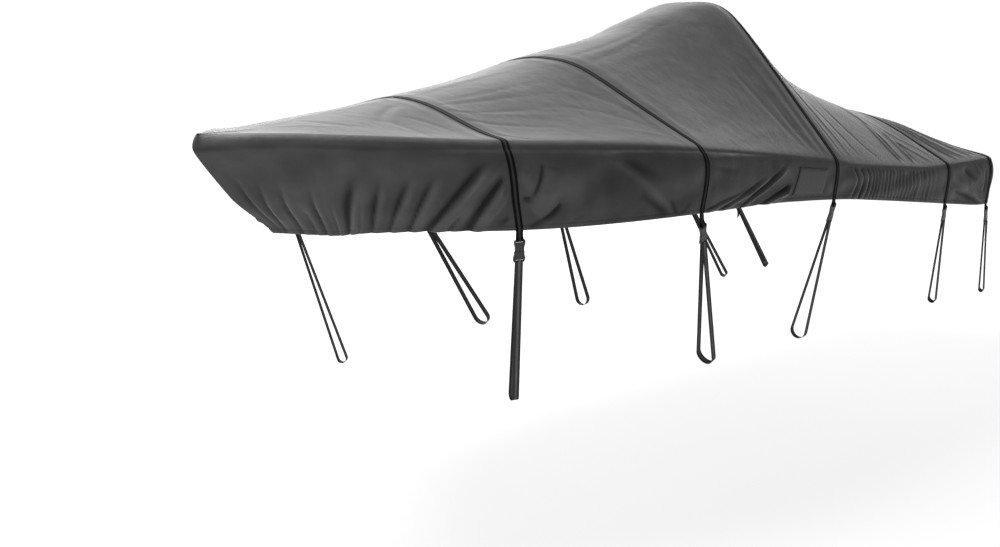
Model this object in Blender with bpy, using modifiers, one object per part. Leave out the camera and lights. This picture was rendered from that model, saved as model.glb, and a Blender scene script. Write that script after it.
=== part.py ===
"""Fitted boat cover: one draped sheet, five over-straps, side-release buckles, tie-down loops.

Metres, +X from bow to stern, +Y to starboard, +Z up. The origin lies against the inside of the
cloth at the peak, where the cover is held up. Lengths along the cover are counted from its bow
tip and heights from the lowest point of the loops, and place() turns them into the part's frame.
"""

from collections import namedtuple

import bmesh
import bpy
import numpy as np
from mathutils import Matrix

# Driving sizes.
LENGTH = 6.79
HALF_BEAM = 1.20
STERN_NARROWING = 0.02
STERN_NARROWS_FROM = 4.53
BOW_LENGTH = 3.03
BOW_POWER = 2.8
BOW_ROUNDNESS = 1.04
STERN_CORNER = 0.10
STERN_SPREAD = 0.12
PEAK_X = 4.18
PEAK_HEIGHT = 2.25
CLOTH = 0.003

# The cover's sections, from bow to stern: heights of the rim, the ridge and the hem; half-width of
# the level top and softness of its bend; height of the upright band at the rim; how far the hem
# lies aft of the rim above it, its breadth as a share of the rim's, and how far the skirt swells
# out between the two; and how far the roof sags between the ridge and the rim.
SECTION_COLUMNS = (
    "x", "rim", "ridge", "level", "bend", "band", "hem", "aft", "breadth", "swell", "hollow"
)
SECTIONS = np.array([
    (0.00, 1.395, 1.470, 0.10, 0.10, 0.075, 0.948, 0.49, 0.61, 0.000, 0.000),
    (0.30, 1.418, 1.475, 0.15, 0.11, 0.055, 0.938, 0.38, 0.82, 0.008, 0.000),
    (0.63, 1.406, 1.525, 0.20, 0.12, 0.052, 0.965, 0.13, 0.82, 0.020, 0.006),
    (1.28, 1.389, 1.617, 0.24, 0.13, 0.043, 0.968, 0.11, 1.00, 0.045, 0.034),
    (2.03, 1.370, 1.740, 0.28, 0.12, 0.034, 0.978, 0.045, 1.00, 0.045, 0.024),
    (2.63, 1.338, 1.875, 0.28, 0.10, 0.020, 0.985, 0.02, 1.00, 0.045, 0.012),
    (3.33, 1.285, 2.020, 0.26, 0.08, 0.015, 0.988, 0.00, 0.99, 0.026, 0.008),
    (3.83, 1.235, 2.175, 0.26, 0.07, 0.015, 0.975, 0.00, 0.99, 0.014, 0.005),
    (4.18, 1.200, 2.250, 0.28, 0.06, 0.015, 0.960, 0.00, 0.99, 0.010, 0.000),
    (4.43, 1.165, 2.115, 0.25, 0.06, 0.015, 0.945, 0.00, 0.99, 0.010, 0.000),
    (4.73, 1.145, 1.875, 0.30, 0.08, 0.015, 0.920, 0.00, 0.99, 0.010, 0.004),
    (5.13, 1.120, 1.685, 0.42, 0.10, 0.015, 0.885, 0.00, 0.99, 0.012, 0.004),
    (5.63, 1.095, 1.545, 0.52, 0.12, 0.015, 0.840, 0.00, 0.99, 0.014, 0.004),
    (6.13, 1.100, 1.455, 0.56, 0.12, 0.015, 0.795, 0.00, 0.99, 0.016, 0.004),
    (6.53, 1.108, 1.360, 0.50, 0.12, 0.020, 0.765, -0.01, 1.00, 0.020, 0.004),
    (6.79, 1.098, 1.262, 0.45, 0.10, 0.030, 0.760, -0.02, 0.99, 0.020, 0.000),
])
SKIRT_ROWS = np.array([1.0, 0.68, 0.36, 0.13, 0.0])
SLOPE_ROWS = np.array([1.0, 0.75, 0.45, 0.18])
LEVEL_ROWS = np.array([1.0, 0.6, 0.0])

# How the skirt tucks in: evenly as a power of the way down, then with a turn near its hem. How its
# swell is spread, and how far the roof's edge lies inside the rim, as a share of the band's height.
HEM_CURVE = 1.08
HEM_TURN = 0.16
HEM_TURNS_FROM = 0.55
SWELL_CURVE = 0.6
RIM_INSET = 0.3

# Stations along the rim, in metres from the bow tip: where each stretch starts and its step.
STRETCHES = ((0.0, 0.055), (1.95, 0.13), (4.6, 0.028), (5.2, 0.16), (6.4, 0.08), (7.35, 0.2))
BESIDE_STRAP = 0.03

# Folds of the skirt, in metres along the rim from the bow tip: where each meets the hem, how far
# it leans aft as it rises, its half-width, its depth, and the share of the skirt that it climbs.
Fold = namedtuple("Fold", "at lean width depth reach")
SKIRT_FOLDS = [Fold(*row) for row in (
    (0.27, 0.02, 0.040, 0.010, 0.55),
    (0.41, 0.14, 0.040, 0.010, 0.50),
    (0.57, 0.28, 0.045, 0.016, 0.65),
    (0.75, 0.20, 0.040, 0.014, 0.60),
    (0.87, 0.26, 0.035, 0.013, 0.60),
    (0.96, 0.33, 0.035, 0.014, 0.65),
    (1.07, 0.48, 0.042, 0.020, 0.85),
    (1.29, 0.40, 0.045, 0.020, 0.75),
    (1.74, -0.05, 0.050, 0.018, 0.90),
    (2.71, -0.50, 0.060, 0.014, 0.80),
    (3.08, 1.20, 0.060, 0.014, 0.70),
    (3.48, 0.75, 0.070, 0.020, 0.85),
    (4.68, 0.00, 0.028, 0.010, 1.00),
    (4.79, 0.00, 0.028, 0.012, 1.00),
    (4.90, 0.00, 0.028, 0.012, 1.00),
    (5.01, -0.01, 0.028, 0.010, 1.00),
    (5.13, -0.02, 0.030, 0.007, 1.00),
    (6.52, 0.10, 0.060, 0.012, 0.80),
)]
CALM_BY_STRAP = (0.03, 0.09)
CALM_AT_ENDS = 0.12
STARBOARD_SHIFT = 0.05

# Over-straps and the loop under each end: where the strap crosses the rim, how far aft it lies at
# the ridge, how far under the hem its buckle starts, and where the loop's foot lies.
Strap = namedtuple("Strap", "x skew below_hem foot_x foot_y foot_width")
STRAPS = {
    "bow": Strap(1.245, 0.11, 0.050, 1.58, 0.72, 0.060),
    "fore": Strap(2.59, -0.04, 0.080, 3.10, 0.99, 0.120),
    "peak": Strap(4.165, 0.045, 0.030, 4.24, 0.98, 0.110),
    "aft": Strap(5.88, -0.02, 0.030, 6.26, 0.98, 0.060),
    "stern": Strap(6.66, -0.07, 0.040, 7.06, 1.03, 0.040),
}
SIDES = {"port": -1, "starboard": 1}
WEBBING_WIDTH = 0.040
WEBBING = 0.002
GAP = 0.0018
SNUG = 0.0006

# Side-release buckle: each half is a flat moulding with a slot and a bar at its outer end.
HALF_LENGTH = 0.064
BUCKLE_THICKNESS = 0.012
BUCKLE_ROUNDING = 0.0015
BAR = 0.007
SLOT = (0.044, 0.009)
TAB = 0.030
JOINT_GAP = 0.0004
SOCKET_OUTLINE = ((0.027, 0.0), (0.031, 0.004), (0.031, 0.022), (0.025, 0.042), (0.025, 0.064))
CLIP_OUTLINE = ((0.025, 0.0), (0.033, 0.012), (0.033, 0.030), (0.028, 0.042), (0.028, 0.064))

FRONT = 2 * WEBBING + 2 * SNUG + BUCKLE_THICKNESS
BAR_CORNER = 0.003
FOOT_STEPS = 7

# The loose end of the stern webbing: how far under its buckle each point hangs, how far forward
# it swings there, and how much it stands off the loop for each metre that it swings.
TAIL = np.array([(0.004, 0.0), (0.05, 0.0), (0.10, 0.004), (0.135, 0.020), (0.17, 0.045)])
TAIL_LIFT = 0.3

# The patch: its ends along the cover, its upper and lower edges as shares of the way down the
# skirt, how far aft its top lies of its foot, and its cloth's thickness.
PATCH_SPAN = (3.62, 3.99)
PATCH_TOP = 0.20
PATCH_FOOT = 0.85
PATCH_LEAN = 0.05
PATCH_COLUMNS = 5
PATCH = 0.0015

WELD = 0.00001
CLOTH_GREY = ((0.10, 0.10, 0.105), 0.75)
BLACK = ((0.02, 0.02, 0.022), 0.80)
MOULDING = ((0.015, 0.015, 0.015), 0.45)


def place(x, y, height):
    """Points in the part's frame from length along the cover, breadth and height."""
    x, y, height = np.broadcast_arrays(x, y, height)
    return np.stack([x - PEAK_X, y, height - PEAK_HEIGHT + CLOTH], axis=-1)


def section(name, x):
    """A column of SECTIONS at x, on a smooth curve that never overshoots its rows."""
    at = SECTIONS[:, 0]
    values = SECTIONS[:, SECTION_COLUMNS.index(name)]
    steps = np.diff(at)
    rises = np.diff(values) / steps
    slopes = np.zeros_like(values)
    slopes[0], slopes[-1] = rises[0], rises[-1]
    before, after = 2 * steps[1:] + steps[:-1], steps[1:] + 2 * steps[:-1]
    same_way = rises[:-1] * rises[1:] > 0
    first, second = np.where(same_way, rises[:-1], 1), np.where(same_way, rises[1:], 1)
    slopes[1:-1] = np.where(same_way, (before + after) / (before / first + after / second), 0)
    x = np.clip(x, at[0], at[-1])
    k = np.clip(np.searchsorted(at, x, side="right") - 1, 0, len(steps) - 1)
    t = (x - at[k]) / steps[k]
    return (
        (2 * t**3 - 3 * t**2 + 1) * values[k]
        + (t**3 - 2 * t**2 + t) * steps[k] * slopes[k]
        + (3 * t**2 - 2 * t**3) * values[k + 1]
        + (t**3 - t**2) * steps[k] * slopes[k + 1]
    )


def smooth(t):
    """0 up to 0, 1 from 1 on, and an even curve between."""
    t = np.clip(t, 0, 1)
    return t * t * (3 - 2 * t)


def half_beam(x):
    """Half the rim's breadth: a power curve over the bow, then nearly straight to the stern."""
    forward = 1 - np.clip(x / BOW_LENGTH, 0, 1)
    full = HALF_BEAM * (1 - forward**BOW_POWER) ** BOW_ROUNDNESS
    aft = np.clip((x - STERN_NARROWS_FROM) / (LENGTH - STERN_NARROWS_FROM), 0, 1)
    return full - STERN_NARROWING * aft**2


def roof_height(x, y):
    """Height of the roof: level near the middle, then bent over into a straight slope."""
    beam = np.maximum(half_beam(x), 1e-6)
    level = np.minimum(section("level", x), 0.8 * beam)
    bend = np.minimum(section("bend", x), 0.3 * beam)

    def fallen(breadth):
        return np.logaddexp(0, (breadth - level) / bend) - np.logaddexp(0, -level / bend)

    edge = section("rim", x) + section("band", x)
    share = np.clip(fallen(np.abs(y)) / fallen(beam), 0, 1)
    sag = section("hollow", x) * 4 * share * (1 - share)
    return section("ridge", x) * (1 - share) + edge * share - sag


class Rim:
    """The rim's half outline from above, from the bow tip to the middle of the stern."""

    along = (LENGTH - STERN_CORNER) * np.linspace(0, 1, 1600) ** 2
    turn = np.linspace(0, np.pi / 2, 60)[1:]
    flat_half = half_beam(LENGTH - STERN_CORNER) - STERN_CORNER
    back = flat_half * np.linspace(1, 0, 80)[1:]
    x = np.concatenate([
        along, LENGTH - STERN_CORNER * (1 - np.sin(turn)), np.full(len(back), LENGTH)
    ])
    y = np.concatenate([half_beam(along), flat_half + STERN_CORNER * np.cos(turn), back])
    travel = np.concatenate([[0], np.cumsum(np.hypot(np.diff(x), np.diff(y)))])
    slope = np.gradient(np.stack([x, y]), travel, axis=1)
    normal = np.stack([-slope[1], slope[0]]) / np.hypot(*slope)
    normal[:, 0] = -1, 0
    normal[:, -1] = 1, 0
    corner = travel[len(along) - 1]
    total = travel[-1]

    @classmethod
    def at(cls, travel):
        """Length, breadth and outward normal at distances along the rim."""
        columns = (cls.x, cls.y, cls.normal[0], cls.normal[1])
        return [np.interp(travel, cls.travel, column) for column in columns]

    @classmethod
    def reach(cls, x):
        """Distance along the rim to the point of the side at length x."""
        return np.interp(x, cls.along, cls.travel[: len(cls.along)])


def stations():
    """Distances along the rim of every section, one of them exactly on each strap."""
    starts = [start for start, _ in STRETCHES] + [Rim.total]
    found = []
    for (start, step), end in zip(STRETCHES, starts[1:]):
        count = max(1, round((end - start) / step))
        found.extend(start + (end - start) * np.arange(count) / count)
    found = np.array(found + [Rim.total])
    for strap in STRAPS.values():
        middle = Rim.reach(strap.x)
        found[np.abs(found - middle).argmin()] = middle
        found = np.concatenate([found, [middle - BESIDE_STRAP, middle + BESIDE_STRAP]])
    return np.sort(found)


def skirt_fold(travel, down, side):
    """Depth of the folds at a distance along the rim and a share of the way down to the hem."""
    shift = STARBOARD_SHIFT if side > 0 else 0.0
    total = 0.0
    for fold in SKIRT_FOLDS:
        middle = fold.at + shift + fold.lean * (1 - down)
        trough = fold.depth * np.exp(-(((travel - middle) / fold.width) ** 2))
        total = total + trough * smooth((down - 1 + fold.reach) / fold.reach)
    calm = smooth(travel / CALM_AT_ENDS) * smooth((Rim.total - travel) / CALM_AT_ENDS)
    flat, clear = CALM_BY_STRAP
    for strap in STRAPS.values():
        beyond = np.abs(travel - Rim.reach(strap.x)) - flat
        calm = calm * smooth(beyond / (clear - flat))
    if side == SIDES["port"]:
        middle, half = np.mean(Rim.reach(np.array(PATCH_SPAN))), np.ptp(PATCH_SPAN) / 2
        calm = calm * smooth((np.abs(travel - middle) - half - PATCH_LEAN) / (clear - flat))
    return total * calm


def skirt(travel, down, side):
    """Points of the skirt, hanging from the rim's crease to a hem tucked in under it."""
    x, y, out_x, out_y = Rim.at(travel)
    crease = roof_height(x, y) - section("band", x)
    turned_in = HEM_TURN * smooth((down - HEM_TURNS_FROM) / (1 - HEM_TURNS_FROM))
    tucked = (down**HEM_CURVE + turned_in) / (1 + HEM_TURN)
    swell = section("swell", x) * np.sin(np.pi * down**SWELL_CURVE) - skirt_fold(travel, down, side)
    sheet_x = x + section("aft", x) * tucked + out_x * swell
    sheet_y = y * (1 - (1 - section("breadth", x)) * tucked) + out_y * swell
    height = crease + (section("hem", x) - crease) * down
    return place(sheet_x, side * sheet_y, height)


def skew(travel, x, y):
    """How far aft of its rim point each section lies at the ridge."""
    at = [0.0] + [Rim.reach(strap.x) for strap in STRAPS.values()]
    aft = np.interp(travel, at, [0.0] + [strap.skew for strap in STRAPS.values()])
    stern = LENGTH - STERN_SPREAD * (y / HALF_BEAM) ** 2 - x
    return np.where(travel >= Rim.corner - 1e-9, stern, aft)


def roof(travel, side):
    """Points of one half of the roof, from the rim in to the ridge, a column for each station."""
    x, y, out_x, out_y = Rim.at(travel)
    inset = RIM_INSET * section("band", x)
    edge_x, edge_y = x - out_x * inset, np.maximum(y - out_y * inset, 0)
    level = np.minimum(section("level", x), 0.8 * edge_y)
    slope_rows = level + (edge_y - level) * SLOPE_ROWS[:, None]
    breadth = np.concatenate([slope_rows, level * LEVEL_ROWS[:, None]])
    share = breadth / np.maximum(edge_y, 1e-9)
    length = edge_x + skew(travel, edge_x, edge_y) * np.where(edge_y > 1e-9, 1 - share**2, 0)
    return place(length, side * breadth, roof_height(length, breadth))


def cover_points(travel):
    """The sheet as a grid: a row for each station, a column from port hem to starboard hem."""
    halves = [
        np.concatenate([skirt(travel, SKIRT_ROWS[:, None], side), roof(travel, side)])
        for side in SIDES.values()
    ]
    whole = np.concatenate([halves[0], halves[1][-2::-1]])
    return whole.transpose(1, 0, 2)


def unit(vectors):
    return vectors / np.maximum(np.linalg.norm(vectors, axis=-1, keepdims=True), 1e-12)


def outward(points):
    """Normals of a grid whose rows go aft and whose columns go to starboard."""
    return unit(np.cross(np.gradient(points, axis=0), np.gradient(points, axis=1)))


def made_object(name, data, colour, roughness):
    """Links an object with its own material to the part's collection."""
    found = bpy.data.objects.new(name, data)
    bpy.data.collections["boat_cover"].objects.link(found)
    look = bpy.data.materials.new(name)
    look.use_nodes = True
    shader = look.node_tree.nodes["Principled BSDF"]
    shader.inputs["Base Color"].default_value = (*colour, 1)
    shader.inputs["Roughness"].default_value = roughness
    shader.inputs["Metallic"].default_value = 0
    data.materials.append(look)
    return found


def made_sheet(name, points, thickness, colour, closed=False, even=True):
    """A grid bent to rows and columns of points, welded where it meets itself, then thickened.

    The wall grows to the side that the grid faces, or to the other one if thickness is negative.
    """
    if closed:
        points = np.concatenate([points, points[:1]])
    last_row, last_column = points.shape[0] - 1, points.shape[1] - 1
    mesh = bmesh.new()
    bmesh.ops.create_grid(mesh, x_segments=last_row, y_segments=last_column, size=1)
    for vertex in mesh.verts:
        row = round((vertex.co.x + 1) / 2 * last_row)
        column = round((vertex.co.y + 1) / 2 * last_column)
        vertex.co = points[row, column]
    bmesh.ops.remove_doubles(mesh, verts=mesh.verts, dist=WELD)
    data = bpy.data.meshes.new(name)
    mesh.to_mesh(data)
    mesh.free()
    data.shade_smooth()
    data.set_sharp_from_angle(angle=np.radians(40))
    sheet = made_object(name, data, *colour)
    wall = sheet.modifiers.new("thickness", "SOLIDIFY")
    wall.thickness = abs(thickness)
    wall.offset = np.sign(thickness)
    wall.use_even_offset = even
    return sheet


def made_webbing(name, centres, across, closed=False):
    """Webbing along a path of points on its face, growing to the side that its grid faces."""
    half = unit(across) * WEBBING_WIDTH / 2
    edges = np.stack([centres - half, centres + half], axis=1)
    return made_sheet(name, edges, WEBBING, BLACK, closed)


class StrapEnd:
    """The frame under one end of an over-strap: down towards the foot, out, and across."""

    def __init__(self, strap, side, hem, normal):
        self.top = strap.below_hem
        self.radius = strap.foot_width / 2
        self.hem = hem + normal * GAP
        foot = place(strap.foot_x, side * (strap.foot_y - self.radius), self.radius)
        self.length = np.linalg.norm(foot - self.hem)
        self.down = (foot - self.hem) / self.length
        self.out = unit(normal - self.down * (normal @ self.down))
        self.across = np.cross(self.out, self.down)
        self.bottom = self.top + 2 * HALF_LENGTH + JOINT_GAP

    def path(self, route):
        """Points from how far each stands off the webbing's line, and how far below the hem."""
        out, down = np.array(route).T[..., None]
        return self.hem + self.out * out + self.down * down

    def sewn(self):
        """The strap's way down to the socket, round its bar from behind, and back up as a tab."""
        under = self.top + BAR
        turn = under + SNUG + WEBBING
        beside = 2 * WEBBING + SNUG
        lifted = self.top - BAR_CORNER
        return self.path([
            (0, 0.4 * self.top),
            (0, under),
            (BAR_CORNER, turn),
            (FRONT - BAR_CORNER, turn),
            (FRONT, under),
            (FRONT, lifted),
            (beside, lifted - FRONT + beside),
            (beside, self.top - TAB),
        ])

    def looped(self):
        """A ring through the clip's slot, behind its bar, round the foot and up in front."""
        over = self.bottom - BAR - SNUG - WEBBING
        turn = np.linspace(0, np.pi, FOOT_STEPS)
        foot_out = FRONT / 2 - self.radius * np.cos(turn)
        foot = np.stack([foot_out, self.length + self.radius * np.sin(turn)], axis=-1)
        return self.path([
            (BAR_CORNER, over),
            (0, over + BAR_CORNER),
            (0, self.bottom),
            *foot,
            (FRONT, self.bottom),
            (FRONT, over + BAR_CORNER),
            (FRONT - BAR_CORNER, over),
        ])

    def matrix(self, down):
        """Places a moulding's middle plane: X across, Y up, Z out."""
        origin = self.path([(WEBBING + SNUG + BUCKLE_THICKNESS / 2, down)])[0]
        axes = np.stack([self.across, -self.down, self.out, origin], axis=1)
        return Matrix([*map(list, axes), [0, 0, 0, 1]])


def make_over_strap(name, over, forwards, port, starboard):
    """One webbing over the whole cover, along a section, sewn round a bar at both ends."""
    first, last = port.sewn()[::-1], starboard.sewn()
    centres = np.concatenate([first, over, last])
    across = np.concatenate([
        np.tile(-port.across, (len(first), 1)), forwards, np.tile(starboard.across, (len(last), 1))
    ])
    return made_webbing(name, centres, across)


def make_loop(name, end):
    centres = end.looped()
    return made_webbing(name, centres, np.tile(end.across, (len(centres), 1)), closed=True)


def make_tail(name, end):
    """The free end of the stern webbing: down the front of its loop, then loose and forwards."""
    below, forward = TAIL.T
    share = below / (end.length - end.bottom)
    front = FRONT + (end.radius - FRONT / 2) * share
    out = front + SNUG + TAIL_LIFT * forward
    centres = end.path(np.stack([out, end.bottom + below], axis=-1))
    centres[:, 0] -= forward
    return made_webbing(name, centres, np.tile(end.across, (len(centres), 1)))


def make_moulding(name, outline, slot_from, up, matrix):
    """A buckle half: a flat outline with a slot, its edges rounded, from its outer end inwards."""
    outline = np.array(outline)
    right = outline * (1, up)
    left = (outline * (-1, up))[::-1]
    width, height = SLOT
    slot = np.array([(-1, 0), (1, 0), (1, 1), (-1, 1)]) * (width / 2, up * height)
    slot = slot + (0, up * slot_from)
    data = bpy.data.curves.new(name, "CURVE")
    data.dimensions = "2D"
    data.fill_mode = "BOTH"
    data.extrude = BUCKLE_THICKNESS / 2 - BUCKLE_ROUNDING
    data.bevel_depth = BUCKLE_ROUNDING
    data.bevel_resolution = 0
    data.offset = -BUCKLE_ROUNDING
    for corners in (np.concatenate([right, left]), slot):
        spline = data.splines.new("POLY")
        spline.points.add(len(corners) - 1)
        for point, corner in zip(spline.points, corners):
            point.co = (*corner, 0, 1)
        spline.use_cyclic_u = True
    moulding = made_object(name, data, *MOULDING)
    moulding.matrix_world = matrix
    return moulding


def make_patch():
    """A four-sided piece of cloth sewn on the port skirt, leaning aft as it rises."""
    travel = np.linspace(*Rim.reach(np.array(PATCH_SPAN)), PATCH_COLUMNS)[:, None]
    between = SKIRT_ROWS[(SKIRT_ROWS > PATCH_TOP) & (SKIRT_ROWS < PATCH_FOOT)]
    down = np.array([PATCH_FOOT, *between, PATCH_TOP])[None, :]
    risen = (PATCH_FOOT - down) / (PATCH_FOOT - PATCH_TOP)
    points = skirt(travel + PATCH_LEAN * risen, down, SIDES["port"])
    return made_sheet("patch", points + outward(points) * GAP, PATCH, CLOTH_GREY)


def main():
    for old in list(bpy.data.objects):
        bpy.data.objects.remove(old)
    bpy.context.scene.collection.children.link(bpy.data.collections.new("boat_cover"))
    travel = stations()
    points = cover_points(travel)
    normals = outward(points)
    forwards = -np.gradient(points, axis=0)
    made_sheet("cover", points, -CLOTH, CLOTH_GREY, even=False)
    make_patch()
    for where, strap in STRAPS.items():
        at = np.abs(travel - Rim.reach(strap.x)).argmin()
        ends = {}
        for side, sign in SIDES.items():
            column = 0 if sign < 0 else -1
            end = StrapEnd(strap, sign, points[at, column], normals[at, column])
            ends[side] = end
            tag = f"{where}_{side}"
            make_moulding(f"buckle_upper_{tag}", SOCKET_OUTLINE, BAR, -1, end.matrix(end.top))
            make_moulding(f"buckle_lower_{tag}", CLIP_OUTLINE, BAR, 1, end.matrix(end.bottom))
            make_loop(f"loop_{tag}", end)
            if where == "stern":
                make_tail(f"tail_{tag}", end)
        over = points[at] + normals[at] * GAP
        make_over_strap(f"strap_{where}", over, forwards[at], *ends.values())


main()
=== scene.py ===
# %% [markdown]
# # A fitted boat cover, strapped down
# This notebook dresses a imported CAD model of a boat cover: one big draped cloth, five webbings
# over it, ten side-release buckles and the loops that tie it down. The CAD model fixes every size
# and place. Here each piece gets its fine surface and its finish. Lengths are metres, +X runs from
# bow to stern, +Y to starboard, +Z up, and the origin lies under the cloth at its peak.

import bmesh
import bpy
import numpy as np
from mathutils import Matrix


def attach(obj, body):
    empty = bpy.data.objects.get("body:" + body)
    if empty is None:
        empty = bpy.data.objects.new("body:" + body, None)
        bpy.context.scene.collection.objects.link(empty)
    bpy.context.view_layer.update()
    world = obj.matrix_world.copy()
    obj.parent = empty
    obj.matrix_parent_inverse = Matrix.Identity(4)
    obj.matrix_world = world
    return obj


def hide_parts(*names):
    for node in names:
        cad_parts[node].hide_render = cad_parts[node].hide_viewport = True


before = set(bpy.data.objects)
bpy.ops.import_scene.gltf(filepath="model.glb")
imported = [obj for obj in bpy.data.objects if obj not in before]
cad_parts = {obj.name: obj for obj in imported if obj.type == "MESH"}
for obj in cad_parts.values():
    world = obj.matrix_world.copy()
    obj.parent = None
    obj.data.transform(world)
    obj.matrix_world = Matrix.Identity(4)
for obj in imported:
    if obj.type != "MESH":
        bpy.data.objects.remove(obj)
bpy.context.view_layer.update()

# %% [markdown]
# ## The camera
# The view is from ahead of the bow, on the port side, along the cover and slightly down.
# The view is given by three turns, as on a tripod head: the heading, the dip and a slight roll.
# A camera could also be aimed with a Track To constraint, but plain angles are easier to read back.

# %% Camera
CAMERA_PLACE = (-8.181, -5.550, -0.442)
CAMERA_HEADING = np.radians(41.65)
CAMERA_DIP = np.radians(8.53)
CAMERA_ROLL = np.radians(0.47)
CAMERA_LENS = 49.9


def camera_matrix():
    """Columns are the image's right and up and the way back, for the heading, dip and roll."""
    ahead = np.array([np.cos(CAMERA_HEADING) * np.cos(CAMERA_DIP),
                      np.sin(CAMERA_HEADING) * np.cos(CAMERA_DIP), -np.sin(CAMERA_DIP)])
    level = np.array([np.sin(CAMERA_HEADING), -np.cos(CAMERA_HEADING), 0.0])
    rise = np.cross(level, ahead)
    right = np.cos(CAMERA_ROLL) * level + np.sin(CAMERA_ROLL) * rise
    up = np.cos(CAMERA_ROLL) * rise - np.sin(CAMERA_ROLL) * level
    matrix = np.eye(4)
    matrix[:3] = np.stack([right, up, -ahead, CAMERA_PLACE], axis=1)
    return Matrix(matrix.tolist())


camera = bpy.data.objects.new("camera", bpy.data.cameras.new("camera"))
camera.data.lens = CAMERA_LENS
camera.data.clip_end = 200
camera.matrix_world = camera_matrix()
bpy.context.scene.collection.objects.link(camera)
bpy.context.scene.camera = camera
print("camera at", CAMERA_PLACE)

# %% [markdown]
# ## Helpers for meshes
# Every new surface below is a grid: a table of points worked out with numpy in one go, with a row
# for each step one way and a column for each step the other. from_pydata joins the table's
# neighbours into four-sided faces.

# %% A grid of points becomes a mesh
def grid_faces(rows, columns, closed_rows=False, closed_columns=False, start=0):
    """Corners of a grid's faces, each joining a point to the next row's and the next column's."""
    index = start + np.arange(rows * columns).reshape(rows, columns)
    if closed_rows:
        index = np.concatenate([index, index[:1]])
    if closed_columns:
        index = np.concatenate([index, index[:, :1]], axis=1)
    corners = (index[:-1, :-1], index[1:, :-1], index[1:, 1:], index[:-1, 1:])
    return np.stack([corner.ravel() for corner in corners], axis=1)


def signed_volume(points, faces):
    """Six times the volume that four-sided faces enclose, negative where they point inwards."""
    a, b, c, d = (points[faces[:, k]] for k in range(4))
    return (a * np.cross(b, c)).sum() + (a * np.cross(c, d)).sum()


def made_mesh(name, points, faces, uv=None, shade=None, merge=0.0, caps=(), solid=False):
    """An object at the origin from points and faces, with a UV pair for each point if given.

    A shade is a further number at each point, which a material can read. A solid's faces are
    turned to point outwards, and caps are further faces of many corners.
    """
    points = np.reshape(points, (-1, 3))
    faces = np.asarray(faces)
    turn = -1 if solid and signed_volume(points - points.mean(axis=0), faces) < 0 else 1
    all_faces = [list(face)[::turn] for face in [*faces.tolist(), *caps]]
    data = bpy.data.meshes.new(name)
    data.from_pydata(points.tolist(), [], all_faces)
    if uv is not None:
        corner_points = np.zeros(len(data.loops), np.int32)
        data.loops.foreach_get("vertex_index", corner_points)
        layer = data.uv_layers.new(name="cloth")
        corner_uv = np.reshape(uv, (-1, 2))[corner_points].astype(np.float32)
        layer.data.foreach_set("uv", corner_uv.ravel())
    if shade is not None:
        data.attributes.new("shade", "FLOAT", "POINT")
        data.attributes["shade"].data.foreach_set("value", np.ravel(shade).astype(np.float32))
    if merge:
        work = bmesh.new()
        work.from_mesh(data)
        bmesh.ops.remove_doubles(work, verts=work.verts, dist=merge)
        work.to_mesh(data)
        work.free()
    data.update()
    data.shade_smooth()
    made = bpy.data.objects.new(name, data)
    bpy.context.scene.collection.objects.link(made)
    return made


print("a grid of 3 by 4 points has", len(grid_faces(3, 4)), "faces")


# %% A piece's finish and body, and small sums
def dress(piece, look, slot, *nodes):
    """Gives a piece its finish, fixes it to the only body, and hides the CAD nodes it stands for."""
    piece.data.materials.append(look)
    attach(piece, "root")
    if nodes:
        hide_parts(*nodes)


def unit(vectors):
    """Vectors of length one along the given ones."""
    return vectors / np.maximum(np.linalg.norm(vectors, axis=-1, keepdims=True), 1e-12)


def smooth(t):
    """0 up to 0, 1 from 1 on, and an even curve between."""
    t = np.clip(t, 0, 1)
    return t * t * (3 - 2 * t)


def run_along(path):
    """Distance along a path to each of its points."""
    return np.concatenate([[0], np.linalg.norm(np.diff(path, axis=0), axis=-1).cumsum()])


def spots_at(at, run, table):
    """The rows of a table at distances along a path, worked out between those at its points."""
    return np.stack([np.interp(at, run, column) for column in table.T], axis=1)


print("smooth() a quarter of the way:", float(smooth(0.25)))


# %% [markdown]
# ## Helpers for materials
# A material is a tree of small nodes, each of which passes a number, a colour or a direction to
# the next, and the last one is the shader. Three short functions keep the trees below readable.

# %% Small tools for node materials
def new_look(name, colour, roughness):
    """A material with one plain shader, returned with its node tree and that shader."""
    look = bpy.data.materials.new(name)
    look.use_nodes = True
    shader = look.node_tree.nodes["Principled BSDF"]
    shader.inputs["Base Color"].default_value = (*colour, 1)
    shader.inputs["Roughness"].default_value = roughness
    return look, look.node_tree, shader


def add_node(tree, kind, inputs=(), **settings):
    """A node of a kind, with its settings, and inputs given as values or as other nodes' outputs."""
    node = tree.nodes.new("ShaderNode" + kind)
    for name, value in settings.items():
        setattr(node, name, value)
    for name, value in dict(inputs).items():
        if isinstance(value, bpy.types.NodeSocket):
            tree.links.new(value, node.inputs[name])
        else:
            node.inputs[name].default_value = value
    return node


def ranged(tree, value, first, last):
    """A value mapped from a range to another, each given by what it starts from and maps to."""
    inputs = {"Value": value, "From Min": first[0], "From Max": last[0]}
    inputs.update({"To Min": first[1], "To Max": last[1]})
    return add_node(tree, "MapRange", inputs).outputs["Result"]


# %% [markdown]
# ## The floor and the light
# The cover hangs at its real height over a pale studio floor, in front of white. The cloth is dark,
# so most of the light has to come from above. A large lamp over the bow, a little to starboard,
# stands for the sky. A larger one behind the stern grazes the top and makes it shine, and a small
# one ahead of the bow picks out the folds of the skirt. An image of a sky could light it too, but
# three lamps can be read and moved. The floor glows a little, more so far away, so that it meets
# the white.

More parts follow.
